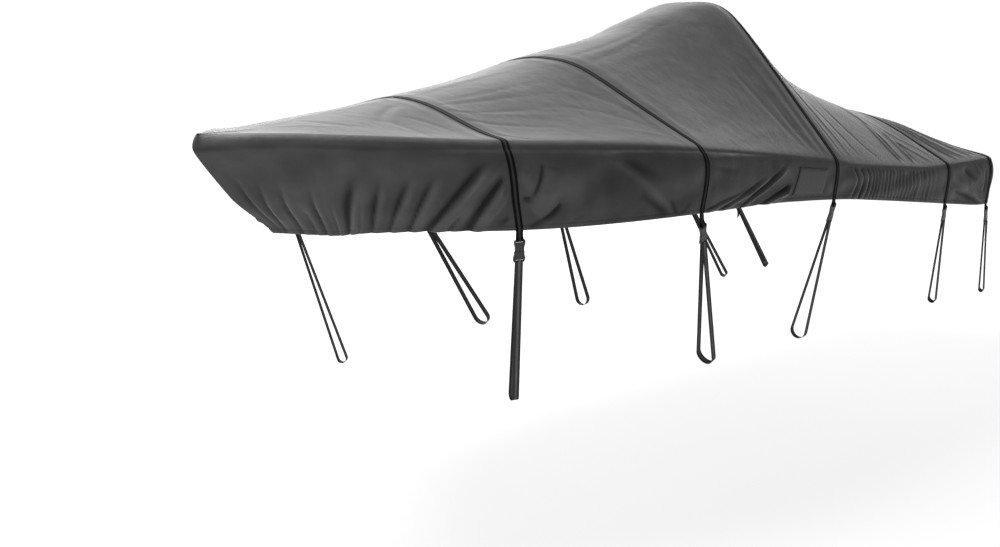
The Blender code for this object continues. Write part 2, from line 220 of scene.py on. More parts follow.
# %% Floor
FLOOR_HEIGHT = -2.847
FLOOR_HALF = 60.0
FLOOR_GLOW = ((5.0, 0.80), (14.0, 1.02))
floor_points = np.array([[-1, -1, 0], [1, -1, 0], [1, 1, 0], [-1, 1, 0]]) * FLOOR_HALF
floor = made_mesh("floor", floor_points + (0, 0, FLOOR_HEIGHT), [(0, 1, 2, 3)])
floor_look, tree, shader = new_look("floor", (0.12, 0.12, 0.12), 0.9)
centre = add_node(tree, "TexCoord").outputs["Object"]
distance = add_node(tree, "VectorMath", {0: centre}, operation="LENGTH").outputs["Value"]
tree.links.new(ranged(tree, distance, *FLOOR_GLOW), shader.inputs["Emission Strength"])
shader.inputs["Emission Color"].default_value = (1, 1, 1, 1)
floor.data.materials.append(floor_look)
print("floor at", FLOOR_HEIGHT, "m")

# %% World and lamps
ROOM_LIGHT = 0.30
ROOM_SEEN = 1.05
world = bpy.data.worlds.new("studio")
world.use_nodes = True
seen = add_node(world.node_tree, "LightPath").outputs["Is Camera Ray"]
strengths = {"Factor": seen, "A": ROOM_LIGHT, "B": ROOM_SEEN}
strength = add_node(world.node_tree, "Mix", strengths).outputs["Result"]
background = world.node_tree.nodes["Background"]
background.inputs["Color"].default_value = (1, 1, 1, 1)
world.node_tree.links.new(strength, background.inputs["Strength"])
bpy.context.scene.world = world
bpy.context.scene.view_settings.view_transform = "Standard"


def add_lamp(name, place, target, breadth, height, power):
    """A soft lamp of a breadth and a height at a place, facing a target, that no camera sees."""
    lamp = bpy.data.objects.new(name, bpy.data.lights.new(name, "AREA"))
    lamp.data.shape = "RECTANGLE"
    lamp.data.size = breadth
    lamp.data.size_y = height
    lamp.data.energy = power
    lamp.visible_camera = False
    back = unit(np.subtract(place, target).astype(float))
    side = unit(np.cross((0, 0, 1), back))
    matrix = np.eye(4)
    matrix[:3] = np.stack([side, np.cross(back, side), back, place], axis=1)
    lamp.matrix_world = Matrix(matrix.tolist())
    bpy.context.scene.collection.objects.link(lamp)


add_lamp("top", (-4.2, 3.2, 5.6), (-2.2, 0.0, -0.8), 4.0, 4.0, 1800)
add_lamp("back", (9.0, 9.5, 2.6), (-0.5, 0.0, -0.8), 14.0, 7.0, 2100)
add_lamp("key", (-10.0, -1.2, 1.6), (-1.0, -0.8, -1.2), 2.0, 2.0, 240)
print("three lamps and an even room light of", ROOM_LIGHT)

# %% [markdown]
# ## The cover's shape
# The real cover is cut from coated polyester and pulled taut over a raised middle. Its shape is a
# run of sections from bow to stern: a skirt that hangs from the rim, a short upright band at the
# rim, and a roof that is level near the middle and then bends over into a straight slope.
# A cloth simulation could drape it, but it would lose the fixed sizes, so the formulas that shape
# the CAD solid are worked out again here on a much finer grid.

# %% Driving sizes and sections
LENGTH = 6.79
HALF_BEAM = 1.20
STERN_NARROWING = 0.02
STERN_NARROWS_FROM = 4.53
BOW_LENGTH = 3.03
BOW_POWER = 2.8
BOW_ROUNDNESS = 1.04
STERN_CORNER = 0.10
STERN_SPREAD = 0.12
PEAK_X = 4.18
PEAK_HEIGHT = 2.25
CLOTH = 0.003
HEM_CURVE = 1.08
HEM_TURN = 0.16
HEM_TURNS_FROM = 0.55
SWELL_CURVE = 0.6
RIM_INSET = 0.45
STARBOARD_SHIFT = 0.05

SECTION_COLUMNS = (
    "x", "rim", "ridge", "level", "bend", "band", "hem", "aft", "breadth", "swell", "hollow"
)
SECTIONS = np.array([
    (0.00, 1.395, 1.470, 0.10, 0.10, 0.075, 0.948, 0.49, 0.61, 0.000, 0.000),
    (0.30, 1.418, 1.475, 0.15, 0.11, 0.055, 0.938, 0.38, 0.82, 0.008, 0.000),
    (0.63, 1.406, 1.525, 0.20, 0.12, 0.052, 0.965, 0.13, 0.82, 0.020, 0.006),
    (1.28, 1.389, 1.617, 0.24, 0.13, 0.043, 0.968, 0.11, 1.00, 0.045, 0.034),
    (2.03, 1.370, 1.740, 0.28, 0.12, 0.034, 0.978, 0.045, 1.00, 0.045, 0.024),
    (2.63, 1.338, 1.875, 0.28, 0.10, 0.020, 0.985, 0.02, 1.00, 0.045, 0.012),
    (3.33, 1.285, 2.020, 0.26, 0.08, 0.015, 0.988, 0.00, 0.99, 0.026, 0.008),
    (3.83, 1.235, 2.175, 0.26, 0.07, 0.015, 0.975, 0.00, 0.99, 0.014, 0.005),
    (4.18, 1.200, 2.250, 0.28, 0.06, 0.015, 0.960, 0.00, 0.99, 0.010, 0.000),
    (4.43, 1.165, 2.115, 0.25, 0.06, 0.015, 0.945, 0.00, 0.99, 0.010, 0.000),
    (4.73, 1.145, 1.875, 0.30, 0.08, 0.015, 0.920, 0.00, 0.99, 0.010, 0.004),
    (5.13, 1.120, 1.685, 0.42, 0.10, 0.015, 0.885, 0.00, 0.99, 0.012, 0.004),
    (5.63, 1.095, 1.545, 0.52, 0.12, 0.015, 0.840, 0.00, 0.99, 0.014, 0.004),
    (6.13, 1.100, 1.455, 0.56, 0.12, 0.015, 0.795, 0.00, 0.99, 0.016, 0.004),
    (6.53, 1.108, 1.360, 0.50, 0.12, 0.020, 0.765, -0.01, 1.00, 0.020, 0.004),
    (6.79, 1.098, 1.262, 0.45, 0.10, 0.030, 0.760, -0.02, 0.99, 0.020, 0.000),
])


# %% Heights of the roof
def place(x, y, height):
    """Points in the model's frame from length along the cover, breadth and height."""
    x, y, height = np.broadcast_arrays(x, y, height)
    return np.stack([x - PEAK_X, y, height - PEAK_HEIGHT + CLOTH], axis=-1)


def section(name, x):
    """A column of SECTIONS at x, on a cubic whose slopes never overshoot the rows."""
    at = SECTIONS[:, 0]
    values = SECTIONS[:, SECTION_COLUMNS.index(name)]
    steps = np.diff(at)
    rises = np.diff(values) / steps
    slopes = np.zeros_like(values)
    slopes[0], slopes[-1] = rises[0], rises[-1]
    before, after = 2 * steps[1:] + steps[:-1], steps[1:] + 2 * steps[:-1]
    same_way = rises[:-1] * rises[1:] > 0
    first, second = np.where(same_way, rises[:-1], 1), np.where(same_way, rises[1:], 1)
    slopes[1:-1] = np.where(same_way, (before + after) / (before / first + after / second), 0)
    x = np.clip(x, at[0], at[-1])
    k = np.clip(np.searchsorted(at, x, side="right") - 1, 0, len(steps) - 1)
    t = (x - at[k]) / steps[k]
    return (
        (2 * t**3 - 3 * t**2 + 1) * values[k]
        + (t**3 - 2 * t**2 + t) * steps[k] * slopes[k]
        + (3 * t**2 - 2 * t**3) * values[k + 1]
        + (t**3 - t**2) * steps[k] * slopes[k + 1]
    )


def half_beam(x):
    """Half the rim's breadth: a power curve over the bow, then nearly straight to the stern."""
    forward = 1 - np.clip(x / BOW_LENGTH, 0, 1)
    full = HALF_BEAM * (1 - forward**BOW_POWER) ** BOW_ROUNDNESS
    aft = np.clip((x - STERN_NARROWS_FROM) / (LENGTH - STERN_NARROWS_FROM), 0, 1)
    return full - STERN_NARROWING * aft**2


def roof_height(x, y):
    """Height of the roof: level near the middle, then bent over into a straight slope."""
    beam = np.maximum(half_beam(x), 1e-6)
    level = np.minimum(section("level", x), 0.8 * beam)
    bend = np.minimum(section("bend", x), 0.3 * beam)

    def fallen(breadth):
        return np.logaddexp(0, (breadth - level) / bend) - np.logaddexp(0, -level / bend)

    edge = section("rim", x) + section("band", x)
    share = np.clip(fallen(np.abs(y)) / fallen(beam), 0, 1)
    sag = section("hollow", x) * 4 * share * (1 - share)
    return section("ridge", x) * (1 - share) + edge * share - sag


print(len(SECTIONS), "sections over", LENGTH, "m, the ridge up to", PEAK_HEIGHT, "m")


# %% The rim from above
class Rim:
    """The rim's half outline from above, from the bow tip to the middle of the stern."""

    along = (LENGTH - STERN_CORNER) * np.linspace(0, 1, 1600) ** 2
    turn = np.linspace(0, np.pi / 2, 60)[1:]
    flat_half = half_beam(LENGTH - STERN_CORNER) - STERN_CORNER
    back = flat_half * np.linspace(1, 0, 80)[1:]
    x = np.concatenate([
        along, LENGTH - STERN_CORNER * (1 - np.sin(turn)), np.full(len(back), LENGTH)
    ])
    y = np.concatenate([half_beam(along), flat_half + STERN_CORNER * np.cos(turn), back])
    travel = np.concatenate([[0], np.cumsum(np.hypot(np.diff(x), np.diff(y)))])
    slope = np.gradient(np.stack([x, y]), travel, axis=1)
    normal = np.stack([-slope[1], slope[0]]) / np.hypot(*slope)
    normal[:, 0] = -1, 0
    normal[:, -1] = 1, 0
    corner = travel[len(along) - 1]
    total = travel[-1]

    @classmethod
    def at(cls, travel):
        """Length, breadth and outward normal at distances along the rim."""
        columns = (cls.x, cls.y, cls.normal[0], cls.normal[1])
        return [np.interp(travel, cls.travel, column) for column in columns]

    @classmethod
    def reach(cls, x):
        """Distance along the rim to the point of the side at length x."""
        return np.interp(x, cls.along, cls.travel[: len(cls.along)])


print("rim, from bow tip to the middle of the stern:", round(Rim.total, 3), "m")

# %% [markdown]
# ## The straps' places
# Each strap crosses the rim at one length, lies a little further aft or forward at the ridge, and
# ends over a buckle and a loop whose foot is out of line with the cover.

# %% Straps
STRAP_COLUMNS = ("x", "skew", "below_hem", "foot_x", "foot_y", "foot_width")
STRAPS = {
    where: dict(zip(STRAP_COLUMNS, row))
    for where, row in {
        "bow": (1.245, 0.11, 0.050, 1.58, 0.72, 0.060),
        "fore": (2.59, -0.04, 0.080, 3.10, 0.99, 0.120),
        "peak": (4.165, 0.045, 0.030, 4.24, 0.98, 0.110),
        "aft": (5.88, -0.02, 0.030, 6.26, 0.98, 0.060),
        "stern": (6.66, -0.07, 0.040, 7.06, 1.03, 0.040),
    }.items()
}
for strap in STRAPS.values():
    strap["travel"] = Rim.reach(strap["x"])
SIDES = {"port": -1, "starboard": 1}
print({where: round(float(strap["travel"]), 3) for where, strap in STRAPS.items()})

# %% [markdown]
# ## Folds of the skirt
# A drawstring in the hem gathers the skirt, so troughs rise from it, deeper and more slanted
# towards the first strap. Each fold is a row: where it meets the hem, how far it leans aft and then
# curves on its way up, its half-width, its depth, the share of the way down at which it dies away,
# and the height of the ridge beside it as a share of its depth. Beside the straps the pull is
# uneven, and the cloth creases in short knots. Each is a row of three points, distance along the
# rim and share of the way down, with a half-width and a height, which is negative in a trough.
# Between the third and fourth straps the spare cloth stands in close pleats, one at each distance
# in PLEATS. Such folds could be drawn with a sculpting brush, but rows in a table can be read.

# %% Folds and pleats
SKIRT_FOLDS = np.array([
    (0.07, 0.05, 0.00, 0.013, 0.008, 0.25, 0.5),
    (0.11, 0.16, 0.00, 0.014, 0.010, 0.32, 0.7),
    (0.22, 0.16, 0.00, 0.014, 0.010, 0.32, 0.7),
    (0.31, 0.17, 0.00, 0.011, 0.006, 0.55, 0.7),
    (0.38, 0.18, 0.00, 0.014, 0.010, 0.38, 0.7),
    (0.49, 0.22, 0.00, 0.011, 0.006, 0.55, 0.7),
    (0.61, 0.30, -0.12, 0.030, 0.018, 0.25, 0.6),
    (0.74, 0.12, 0.00, 0.013, 0.007, 0.50, 0.7),
    (0.835, 0.09, 0.00, 0.015, 0.012, 0.30, 0.8),
    (0.93, 0.17, 0.00, 0.015, 0.013, 0.28, 0.9),
    (1.03, 0.20, 0.00, 0.016, 0.014, 0.25, 0.9),
    (1.12, 0.36, 0.00, 0.020, 0.022, 0.08, 0.9),
    (1.22, 0.24, 0.06, 0.013, 0.009, 0.50, 0.7),
    (1.31, 0.24, 0.11, 0.020, 0.022, 0.12, 0.9),
    (2.93, 1.42, 0.00, 0.010, 0.012, 0.58, 0.9),
    (3.11, 1.20, -0.60, 0.010, 0.012, 0.36, 0.9),
    (3.36, 0.75, -0.20, 0.011, 0.013, 0.12, 0.8),
    (3.60, 1.25, -1.00, 0.013, 0.022, 0.20, 1.0),
    (3.73, 0.78, 0.00, 0.010, 0.009, 0.62, 0.8),
    (7.12, 0.02, 0.00, 0.016, 0.011, 0.20, 0.9),
    (7.45, -0.06, 0.00, 0.020, 0.009, 0.25, 0.7),
    (7.80, 0.05, 0.00, 0.020, 0.008, 0.30, 0.7),
    (8.08, -0.04, 0.00, 0.018, 0.007, 0.35, 0.7),
])
SKIRT_HEIGHT = 0.38
KNOTS = np.array([
    (1.74, 0.15, 1.71, 0.40, 1.655, 0.60, 0.014, -0.022),
    (1.66, 0.60, 1.63, 0.61, 1.59, 0.59, 0.012, -0.018),
    (1.83, 0.67, 1.76, 0.82, 1.60, 0.985, 0.013, -0.022),
    (1.53, 0.80, 1.50, 0.86, 1.45, 0.93, 0.012, -0.018),
    (1.80, 0.24, 1.76, 0.52, 1.66, 0.82, 0.052, 0.018),
    # The next two broad, shallow rows mainly darken and lighten the skirt through its painted fold
    # shade
    (1.98, 0.45, 2.20, 0.50, 2.50, 0.50, 0.110, -0.005),
    (1.84, 0.22, 1.90, 0.45, 1.96, 0.70, 0.070, 0.007),
    (1.62, 0.25, 1.64, 0.36, 1.63, 0.50, 0.030, 0.009),
    (1.86, 0.97, 1.92, 0.90, 1.98, 0.86, 0.012, -0.008),
    (2.12, 0.08, 2.42, 0.48, 2.66, 0.95, 0.024, 0.010),
    (2.24, 0.12, 2.36, 0.22, 2.54, 0.42, 0.028, -0.010),
    (2.38, 0.60, 2.50, 0.78, 2.61, 0.96, 0.022, -0.012),
    (2.63, 0.72, 2.69, 0.92, 2.73, 0.99, 0.012, -0.013),
    (2.73, 0.98, 2.77, 0.92, 2.82, 0.80, 0.012, -0.010),
    (2.96, 0.20, 3.10, 0.28, 3.28, 0.32, 0.022, -0.006),
    (6.26, 0.28, 6.56, 0.58, 6.88, 0.88, 0.034, 0.009),
    (6.36, 0.66, 6.60, 0.80, 6.86, 0.97, 0.018, -0.014),
    (6.62, 0.64, 6.73, 0.76, 6.80, 0.83, 0.010, 0.012),
    (6.76, 0.80, 6.84, 0.88, 6.92, 0.92, 0.010, 0.012),
    (6.70, 0.04, 6.77, 0.18, 6.82, 0.34, 0.014, 0.012),
    (6.52, 0.10, 6.60, 0.26, 6.74, 0.40, 0.026, -0.012),
    (6.90, 0.20, 6.93, 0.50, 6.90, 0.75, 0.022, -0.010),
])
PLEATS = (
    4.66, 4.75, 4.84, 4.925, 4.99, 5.04, 5.09, 5.145, 5.20, 5.26, 5.305, 5.36, 5.41, 5.46, 5.52,
    5.57, 5.63, 5.68, 5.75, 5.80, 5.88, 5.94, 6.03, 6.10,
)
print(len(SKIRT_FOLDS), "folds,", len(KNOTS), "knots and", len(PLEATS), "pleats a side")

# %% [markdown]
# ## How the folds fade and where the skirt is calm
# Folds never start or stop at once, and near a strap, the patch, the rim and both ends the cloth
# lies smooth. A triple says how much is left or added, from what distance along the rim, and over
# what length. PLEAT_DEPTH and PLEAT_BULGE hold for loose pleats and for close ones, and
# PLEATS_EASE is where the first turn into the second. A pair of CALM is where it is fully calm and
# where it is no longer so. A drawstring pulls the hem even, which HEM_CALM gives as shares.

# %% The skirt's relief
FOLD_FADE = 0.38
FOLD_SPREAD = 0.35
FOLD_DEPTH = 1.7
FOLD_NARROW = 0.8
FOLD_SHARPNESS = 1.3
HEM_CALM = {"amount": 0.75, "from_down": 0.70, "all_by": 0.45}
PLEAT_DEPTH = (0.032, 0.013)
PLEAT_BULGE = (0.062, 0.012)
PLEATS_EASE = (4.80, 5.30)
PLEAT_ROUNDNESS = 0.7
PLEAT_MEAN = 0.70
RIPPLES = (0.0022, 0.003)
CALM_AT_RIM = 0.08
CALM_BY_STRAP = (0.024, 0.07)
CALM_AT_ENDS = 0.10
FAR_BOW = (0.2, 0.70, 0.50)
AFT_SHADE = (0.004, 1.80, 0.50)
PATCH_SPAN = (3.62, 3.99)
PATCH_LEAN = 0.05
PATCH_CALM = (0.02, 0.07)
print("pleats", PLEAT_DEPTH[0] * 1000, "mm deep where loose,", PLEAT_DEPTH[1] * 1000, "where close")


# %% The folds' own forms
def fold_profile(across, width, ridge):
    """A trough, a sharpened bell in the distance across it, with a wider soft ridge aft of it."""
    trough = np.exp(-(np.abs(across / width) ** FOLD_SHARPNESS))
    shoulder = np.exp(-(((across - 2.1 * width) / (1.5 * width)) ** 2))
    return ridge * shoulder - trough


def ends_calm(travel):
    """0 at the bow tip and at the middle of the stern, 1 away from them."""
    return smooth(travel / CALM_AT_ENDS) * smooth((Rim.total - travel) / CALM_AT_ENDS)


def strap_calm(travel):
    """0 under each strap, 1 away from it."""
    flat, clear = CALM_BY_STRAP
    beyond = [np.abs(travel - strap["travel"]) - flat for strap in STRAPS.values()]
    return smooth(np.min(beyond, axis=0) / (clear - flat))


def creased(x, y, rows, reach=4.0, steps=12):
    """Ridges and troughs along curves in a plane, Gaussian across and faded towards both ends.

    A row's curve is a quadratic through its first and last points, pulled by its middle.
    """
    total = np.zeros_like(x)
    t = np.linspace(0, 1, steps)[:, None]
    for row in rows:
        first, middle, last = row[:6].reshape(3, 2)
        width, height = row[6:]
        control = 2 * middle - (first + last) / 2
        line = (1 - t) ** 2 * first + 2 * t * (1 - t) * control + t**2 * last
        low, high = line.min(axis=0) - reach * width, line.max(axis=0) + reach * width
        near = (x > low[0]) & (x < high[0]) & (y > low[1]) & (y < high[1])
        spot = np.stack([x[near], y[near]], axis=-1)[:, None]
        start, run = line[:-1], np.diff(line, axis=0)
        share = np.clip(((spot - start) * run).sum(-1) / (run**2).sum(-1), 0, 1)
        gap = np.linalg.norm(spot - start - share[..., None] * run, axis=-1)
        best = gap.argmin(axis=1)
        along = (best + share[np.arange(len(best)), best]) / len(run)
        fade = np.sqrt(np.clip(np.sin(np.pi * along), 0, 1))
        total[near] += height * fade * np.exp(-((gap.min(axis=1) / width) ** 2))
    return total


def gathers(travel, down):
    """All the folds, each with a middle that is a quadratic in the way up.

    Its depth comes in below its top, and its width is measured square to its line.
    """
    rise = 1 - down
    total = 0.0
    for at, lean, curve, width, depth, top, ridge in SKIRT_FOLDS:
        middle = at + lean * rise + curve * rise**2
        slant = np.hypot(1, (lean + 2 * curve * rise) / SKIRT_HEIGHT)
        spread = FOLD_NARROW * width * slant * (1 + FOLD_SPREAD * rise)
        fade = smooth((down - top) / FOLD_FADE)
        total = total + FOLD_DEPTH * depth * fade * fold_profile(travel - middle, spread, ridge)
    return total


def pleats(travel, down, shift):
    """A sine with its troughs turned up, one hump a pleat, which bulges aft half-way down."""
    tight = smooth((travel - PLEATS_EASE[0]) / (PLEATS_EASE[1] - PLEATS_EASE[0]))
    bulge = np.sin(np.pi * down) * (PLEAT_BULGE[0] * (1 - tight) + PLEAT_BULGE[1] * tight)
    height = PLEAT_DEPTH[0] * (1 - tight) + PLEAT_DEPTH[1] * tight
    count = np.interp(travel - shift - bulge, PLEATS, np.arange(len(PLEATS)))
    uneven = 0.75 + 0.25 * np.sin(2.1 * count + 4 * down)
    inside = smooth(count / 0.6) * smooth((len(PLEATS) - 1 - count) / 3) * smooth(down / 0.1)
    humps = np.abs(np.sin(np.pi * count)) ** PLEAT_ROUNDNESS - PLEAT_MEAN
    return height * uneven * inside * humps


# %% All of the skirt's relief
def skirt_relief(travel, down, side):
    """How far the skirt stands out of its smooth form, and its shade.

    It is the sum of its folds, pleats, knots and slow ripples, calmed beside straps, patch and rim
    and at both ends, and on the far side of the bow. The shade is that relief before the drawstring
    pulls the hem even, painted as shade in troughs and highlight on ridges, with a little more
    painted shade aft of the bow.
    """
    shift = STARBOARD_SHIFT if side > 0 else 0.0
    total = gathers(travel - shift, down) + pleats(travel, down, shift)
    knots = KNOTS * ((1, SKIRT_HEIGHT) * 3 + (1, 1))
    total = total + creased(travel - shift + 0 * down, down * SKIRT_HEIGHT + 0 * travel, knots)
    crossed = np.sin(23 * travel + 5 * down) * np.sin(9.7 * travel - 7 * down + side)
    total = total + RIPPLES[0] * crossed + RIPPLES[1] * np.sin(6.1 * travel + 9 * down)
    if side == SIDES["port"]:
        span = Rim.reach(np.array(PATCH_SPAN))
        beyond = np.abs(travel - span.mean()) - np.ptp(span) / 2 - PATCH_LEAN
        total = total * smooth(0.15 + (beyond + PATCH_CALM[0]) / PATCH_CALM[1])
    else:
        total = total * (FAR_BOW[0] + (1 - FAR_BOW[0]) * smooth((travel - FAR_BOW[1]) / FAR_BOW[2]))
    total = total * ends_calm(travel) * strap_calm(travel) * smooth(down / CALM_AT_RIM)
    calm, start = HEM_CALM["amount"], HEM_CALM["from_down"]
    calm = calm + (1 - calm) * (1 - smooth(travel / HEM_CALM["all_by"]))
    near_hem = 1 - calm * smooth((down - start) / (1 - start))
    # Painted shade: the skirt aft of the first strap is made a little darker
    aft_painted_shade = AFT_SHADE[0] * smooth((travel - AFT_SHADE[1]) / AFT_SHADE[2])
    return total * near_hem, total - aft_painted_shade


# %% [markdown]
# ## Creases of the roof
# The top is pulled tight from the peak to the rim and by each strap, and it creases where the pull
# is uneven: a fan behind the first strap, long lines up to the peak, and short hooks by the others.
# Each crease is a row of three points, length and breadth from the middle, with a half-width and a
# height, which is negative in a trough. A real cloth is never the same on both sides, so the other
# side has them a little further aft.

# %% Creases
ROOF_CREASES = np.array([
    (1.20, 0.16, 1.06, 0.22, 0.81, 0.41, 0.020, -0.006),
    (1.22, 0.21, 1.10, 0.27, 0.86, 0.47, 0.022, 0.004),
    (1.07, 0.31, 1.15, 0.46, 1.15, 0.70, 0.018, -0.005),
    (0.62, 0.03, 0.64, 0.20, 0.78, 0.40, 0.018, -0.004),
    (0.42, 0.02, 0.50, 0.12, 0.62, 0.30, 0.016, 0.003),
    (0.93, 0.30, 0.98, 0.50, 0.92, 0.72, 0.022, -0.004),
    (1.36, 0.29, 1.58, 0.35, 2.18, 0.50, 0.020, -0.005),
    (1.34, 0.33, 1.55, 0.50, 2.05, 0.61, 0.018, -0.005),
    (1.33, 0.41, 1.46, 0.64, 1.81, 0.83, 0.018, -0.005),
    (1.32, 0.49, 1.33, 0.80, 1.54, 1.03, 0.018, -0.005),
    (1.40, 0.24, 1.80, 0.30, 2.30, 0.36, 0.020, -0.004),
    (1.40, 0.37, 1.62, 0.56, 2.00, 0.72, 0.024, 0.004),
    (1.34, 0.05, 1.80, 0.02, 2.35, 0.08, 0.024, 0.005),
    (2.00, 0.62, 2.20, 0.75, 2.45, 1.02, 0.022, -0.004),
    (2.20, 0.40, 2.35, 0.60, 2.48, 0.90, 0.022, -0.004),
    (2.05, 0.95, 2.25, 1.00, 2.50, 1.12, 0.018, 0.004),
    (2.61, -0.09, 2.96, -0.06, 3.82, 0.02, 0.022, -0.005),
    (2.60, 0.18, 2.96, 0.18, 3.58, 0.12, 0.020, -0.006),
    (2.60, 0.33, 3.03, 0.28, 3.65, 0.18, 0.020, -0.007),
    (2.66, 0.45, 3.10, 0.36, 3.42, 0.40, 0.030, 0.005),
    (2.72, 0.52, 3.05, 0.46, 3.36, 0.49, 0.030, 0.005),
    (2.68, 0.70, 2.90, 0.62, 3.34, 0.60, 0.030, -0.004),
    (2.70, 0.92, 3.00, 0.80, 3.50, 0.74, 0.032, 0.004),
    (2.72, 1.08, 3.05, 0.98, 3.60, 0.88, 0.030, -0.004),
    (3.00, 1.16, 3.35, 1.06, 3.80, 1.04, 0.024, 0.004),
    (3.55, 0.16, 3.66, 0.22, 3.80, 0.13, 0.016, -0.007),
    (3.70, 0.30, 3.85, 0.34, 4.02, 0.30, 0.018, -0.006),
    (4.08, 0.69, 4.07, 0.89, 4.04, 1.17, 0.016, -0.008),
    (3.92, 0.80, 3.92, 1.04, 3.96, 1.17, 0.016, -0.008),
    (3.99, 0.55, 4.00, 0.85, 3.99, 1.15, 0.018, 0.007),
    (3.76, 0.62, 3.80, 0.90, 3.84, 1.16, 0.022, -0.006),
    (4.28, 0.60, 4.32, 0.90, 4.30, 1.17, 0.016, -0.008),
    (4.40, 0.50, 4.46, 0.85, 4.44, 1.16, 0.020, 0.007),
    (4.62, 0.45, 4.62, 0.85, 4.58, 1.15, 0.020, -0.007),
    (4.90, 0.62, 4.84, 0.90, 4.86, 1.16, 0.022, -0.006),
    (5.40, 0.74, 5.24, 1.02, 5.17, 1.18, 0.012, 0.018),
    (5.42, 0.80, 5.28, 1.02, 5.22, 1.18, 0.016, -0.011),
    (5.55, 0.78, 5.42, 1.06, 5.36, 1.18, 0.013, 0.020),
    (5.58, 0.84, 5.47, 1.06, 5.44, 1.18, 0.016, -0.012),
    (5.34, 0.50, 5.40, 0.80, 5.26, 1.08, 0.014, 0.010),
    (5.50, 0.84, 5.60, 1.05, 5.72, 1.16, 0.014, 0.013),
    (5.56, 0.70, 5.66, 0.90, 5.78, 1.02, 0.016, 0.010),
    (5.98, 0.50, 6.00, 0.92, 6.18, 1.18, 0.014, 0.020),
    (6.03, 0.52, 6.06, 0.90, 6.24, 1.16, 0.016, -0.012),
    (6.06, 0.58, 6.14, 0.92, 6.34, 1.16, 0.014, 0.016),
    (6.12, 0.40, 6.28, 0.82, 6.46, 1.14, 0.015, 0.018),
    (6.18, 0.42, 6.35, 0.82, 6.53, 1.12, 0.018, -0.012),
    (6.14, 0.22, 6.38, 0.62, 6.62, 1.00, 0.018, 0.012),
    (6.10, 0.08, 6.40, 0.30, 6.64, 0.60, 0.020, 0.010),
])

# %% The roof's relief
CREASE_HEIGHT = 0.7
ROOF_RIPPLE = 0.0025
PUFF = 0.003
PUFF_AT = 0.085
PUFF_WIDTH = 0.035


def roof_relief(points, travel, side):
    """How far the roof stands out, from its creases and a slight puff beside each strap."""
    x = points[..., 0] + PEAK_X - (STARBOARD_SHIFT if side > 0 else 0.0)
    y = np.abs(points[..., 1])
    total = ROOF_RIPPLE * np.sin(7 * x + 3 * y) * np.sin(5 * y - 2.3 * x + side)
    total = total + CREASE_HEIGHT * creased(x, y, ROOF_CREASES)
    gaps = [np.abs(np.abs(travel - strap["travel"]) - PUFF_AT) for strap in STRAPS.values()]
    total = total + PUFF * np.exp(-((np.min(gaps, axis=0) / PUFF_WIDTH) ** 2))
    return total * ends_calm(travel) * strap_calm(travel)


print(len(ROOF_CREASES), "creases a side, scaled by", CREASE_HEIGHT)


# %% [markdown]
# ## The skirt and the roof as surfaces
# Both are functions of two numbers. The skirt takes the distance along the rim and the share of
# the way down to the hem. The roof takes the distance along the rim and the share of the way in
# from the ridge to the rim.

# %% Skirt and roof
def skirt(travel, down, side):
    """Points of the smooth skirt, hanging from the rim's crease to a hem tucked in under it."""
    x, y, out_x, out_y = Rim.at(travel)
    crease = roof_height(x, y) - section("band", x)
    turned_in = HEM_TURN * smooth((down - HEM_TURNS_FROM) / (1 - HEM_TURNS_FROM))
    tucked = (down**HEM_CURVE + turned_in) / (1 + HEM_TURN)
    swell = section("swell", x) * np.sin(np.pi * down**SWELL_CURVE)
    sheet_x = x + section("aft", x) * tucked + out_x * swell
    sheet_y = y * (1 - (1 - section("breadth", x)) * tucked) + out_y * swell
    height = crease + (section("hem", x) - crease) * down
    return place(sheet_x, side * sheet_y, height)


def skew(travel, x, y):
    """How far aft of its rim point each section lies at the ridge."""
    at = [0.0] + [strap["travel"] for strap in STRAPS.values()]
    aft = np.interp(travel, at, [0.0] + [strap["skew"] for strap in STRAPS.values()])
    behind = LENGTH - RIM_INSET * section("band", LENGTH)
    stern = behind - STERN_SPREAD * (y / HALF_BEAM) ** 2 - x
    return np.where(travel >= Rim.corner - 1e-9, stern, aft)


def roof(travel, share, side):
    """Points of the smooth roof, share 1 at the rim's inner edge and 0 at the ridge."""
    x, y, out_x, out_y = Rim.at(travel)
    inset = RIM_INSET * section("band", x)
    edge_x, edge_y = x - out_x * inset, np.maximum(y - out_y * inset, 0)
    breadth = edge_y * share
    aft = skew(travel, edge_x, edge_y) * (1 - share**2)
    length = edge_x + np.where(edge_y > 1e-9, aft, 0)
    return place(length, side * breadth, roof_height(length, breadth))


print("hem at the bow tip", skirt(0.0, 1.0, SIDES["port"]).round(3), "m")


# %% [markdown]
# ## One section of the cloth
# A section runs from the port hem up the skirt, round the band, over the ridge and down to the
# starboard hem. The hem has a casing for its drawstring: a slightly fuller strip that ends in a
# sewn groove. surface() gives the finished points for any distances along the rim, so the cover,
# the straps that lie on it and the rows of stitches all come from the same place.

# %% Sections and their normals
BAND_ROWS = 6
BAND_BULGE = 0.18
ROOF_SHADE = 0.4
RIM_SHADE = 0.003
BAND_SHADE = (0.010, 0.006)
BAND_SHOWS = 1.5
RIM_EASE = 2.3
RIM_REACH = 8
RIM_SOFT = (0.10, 0.8, 0.6)
TIP_SOFT = 0.25
CASING = np.array([
    (0.0, 0.0), (0.003, 0.0012), (0.008, 0.0022), (0.014, 0.0024), (0.020, 0.0018),
    (0.0245, 0.0004), (0.027, -0.0012), (0.0295, 0.0), (0.035, 0.0006),
])
SEAM_ROW = 6
SKIRT_COLUMNS = {-1: 40, 1: 22}
ROOF_COLUMNS = {-1: 54, 1: 27}


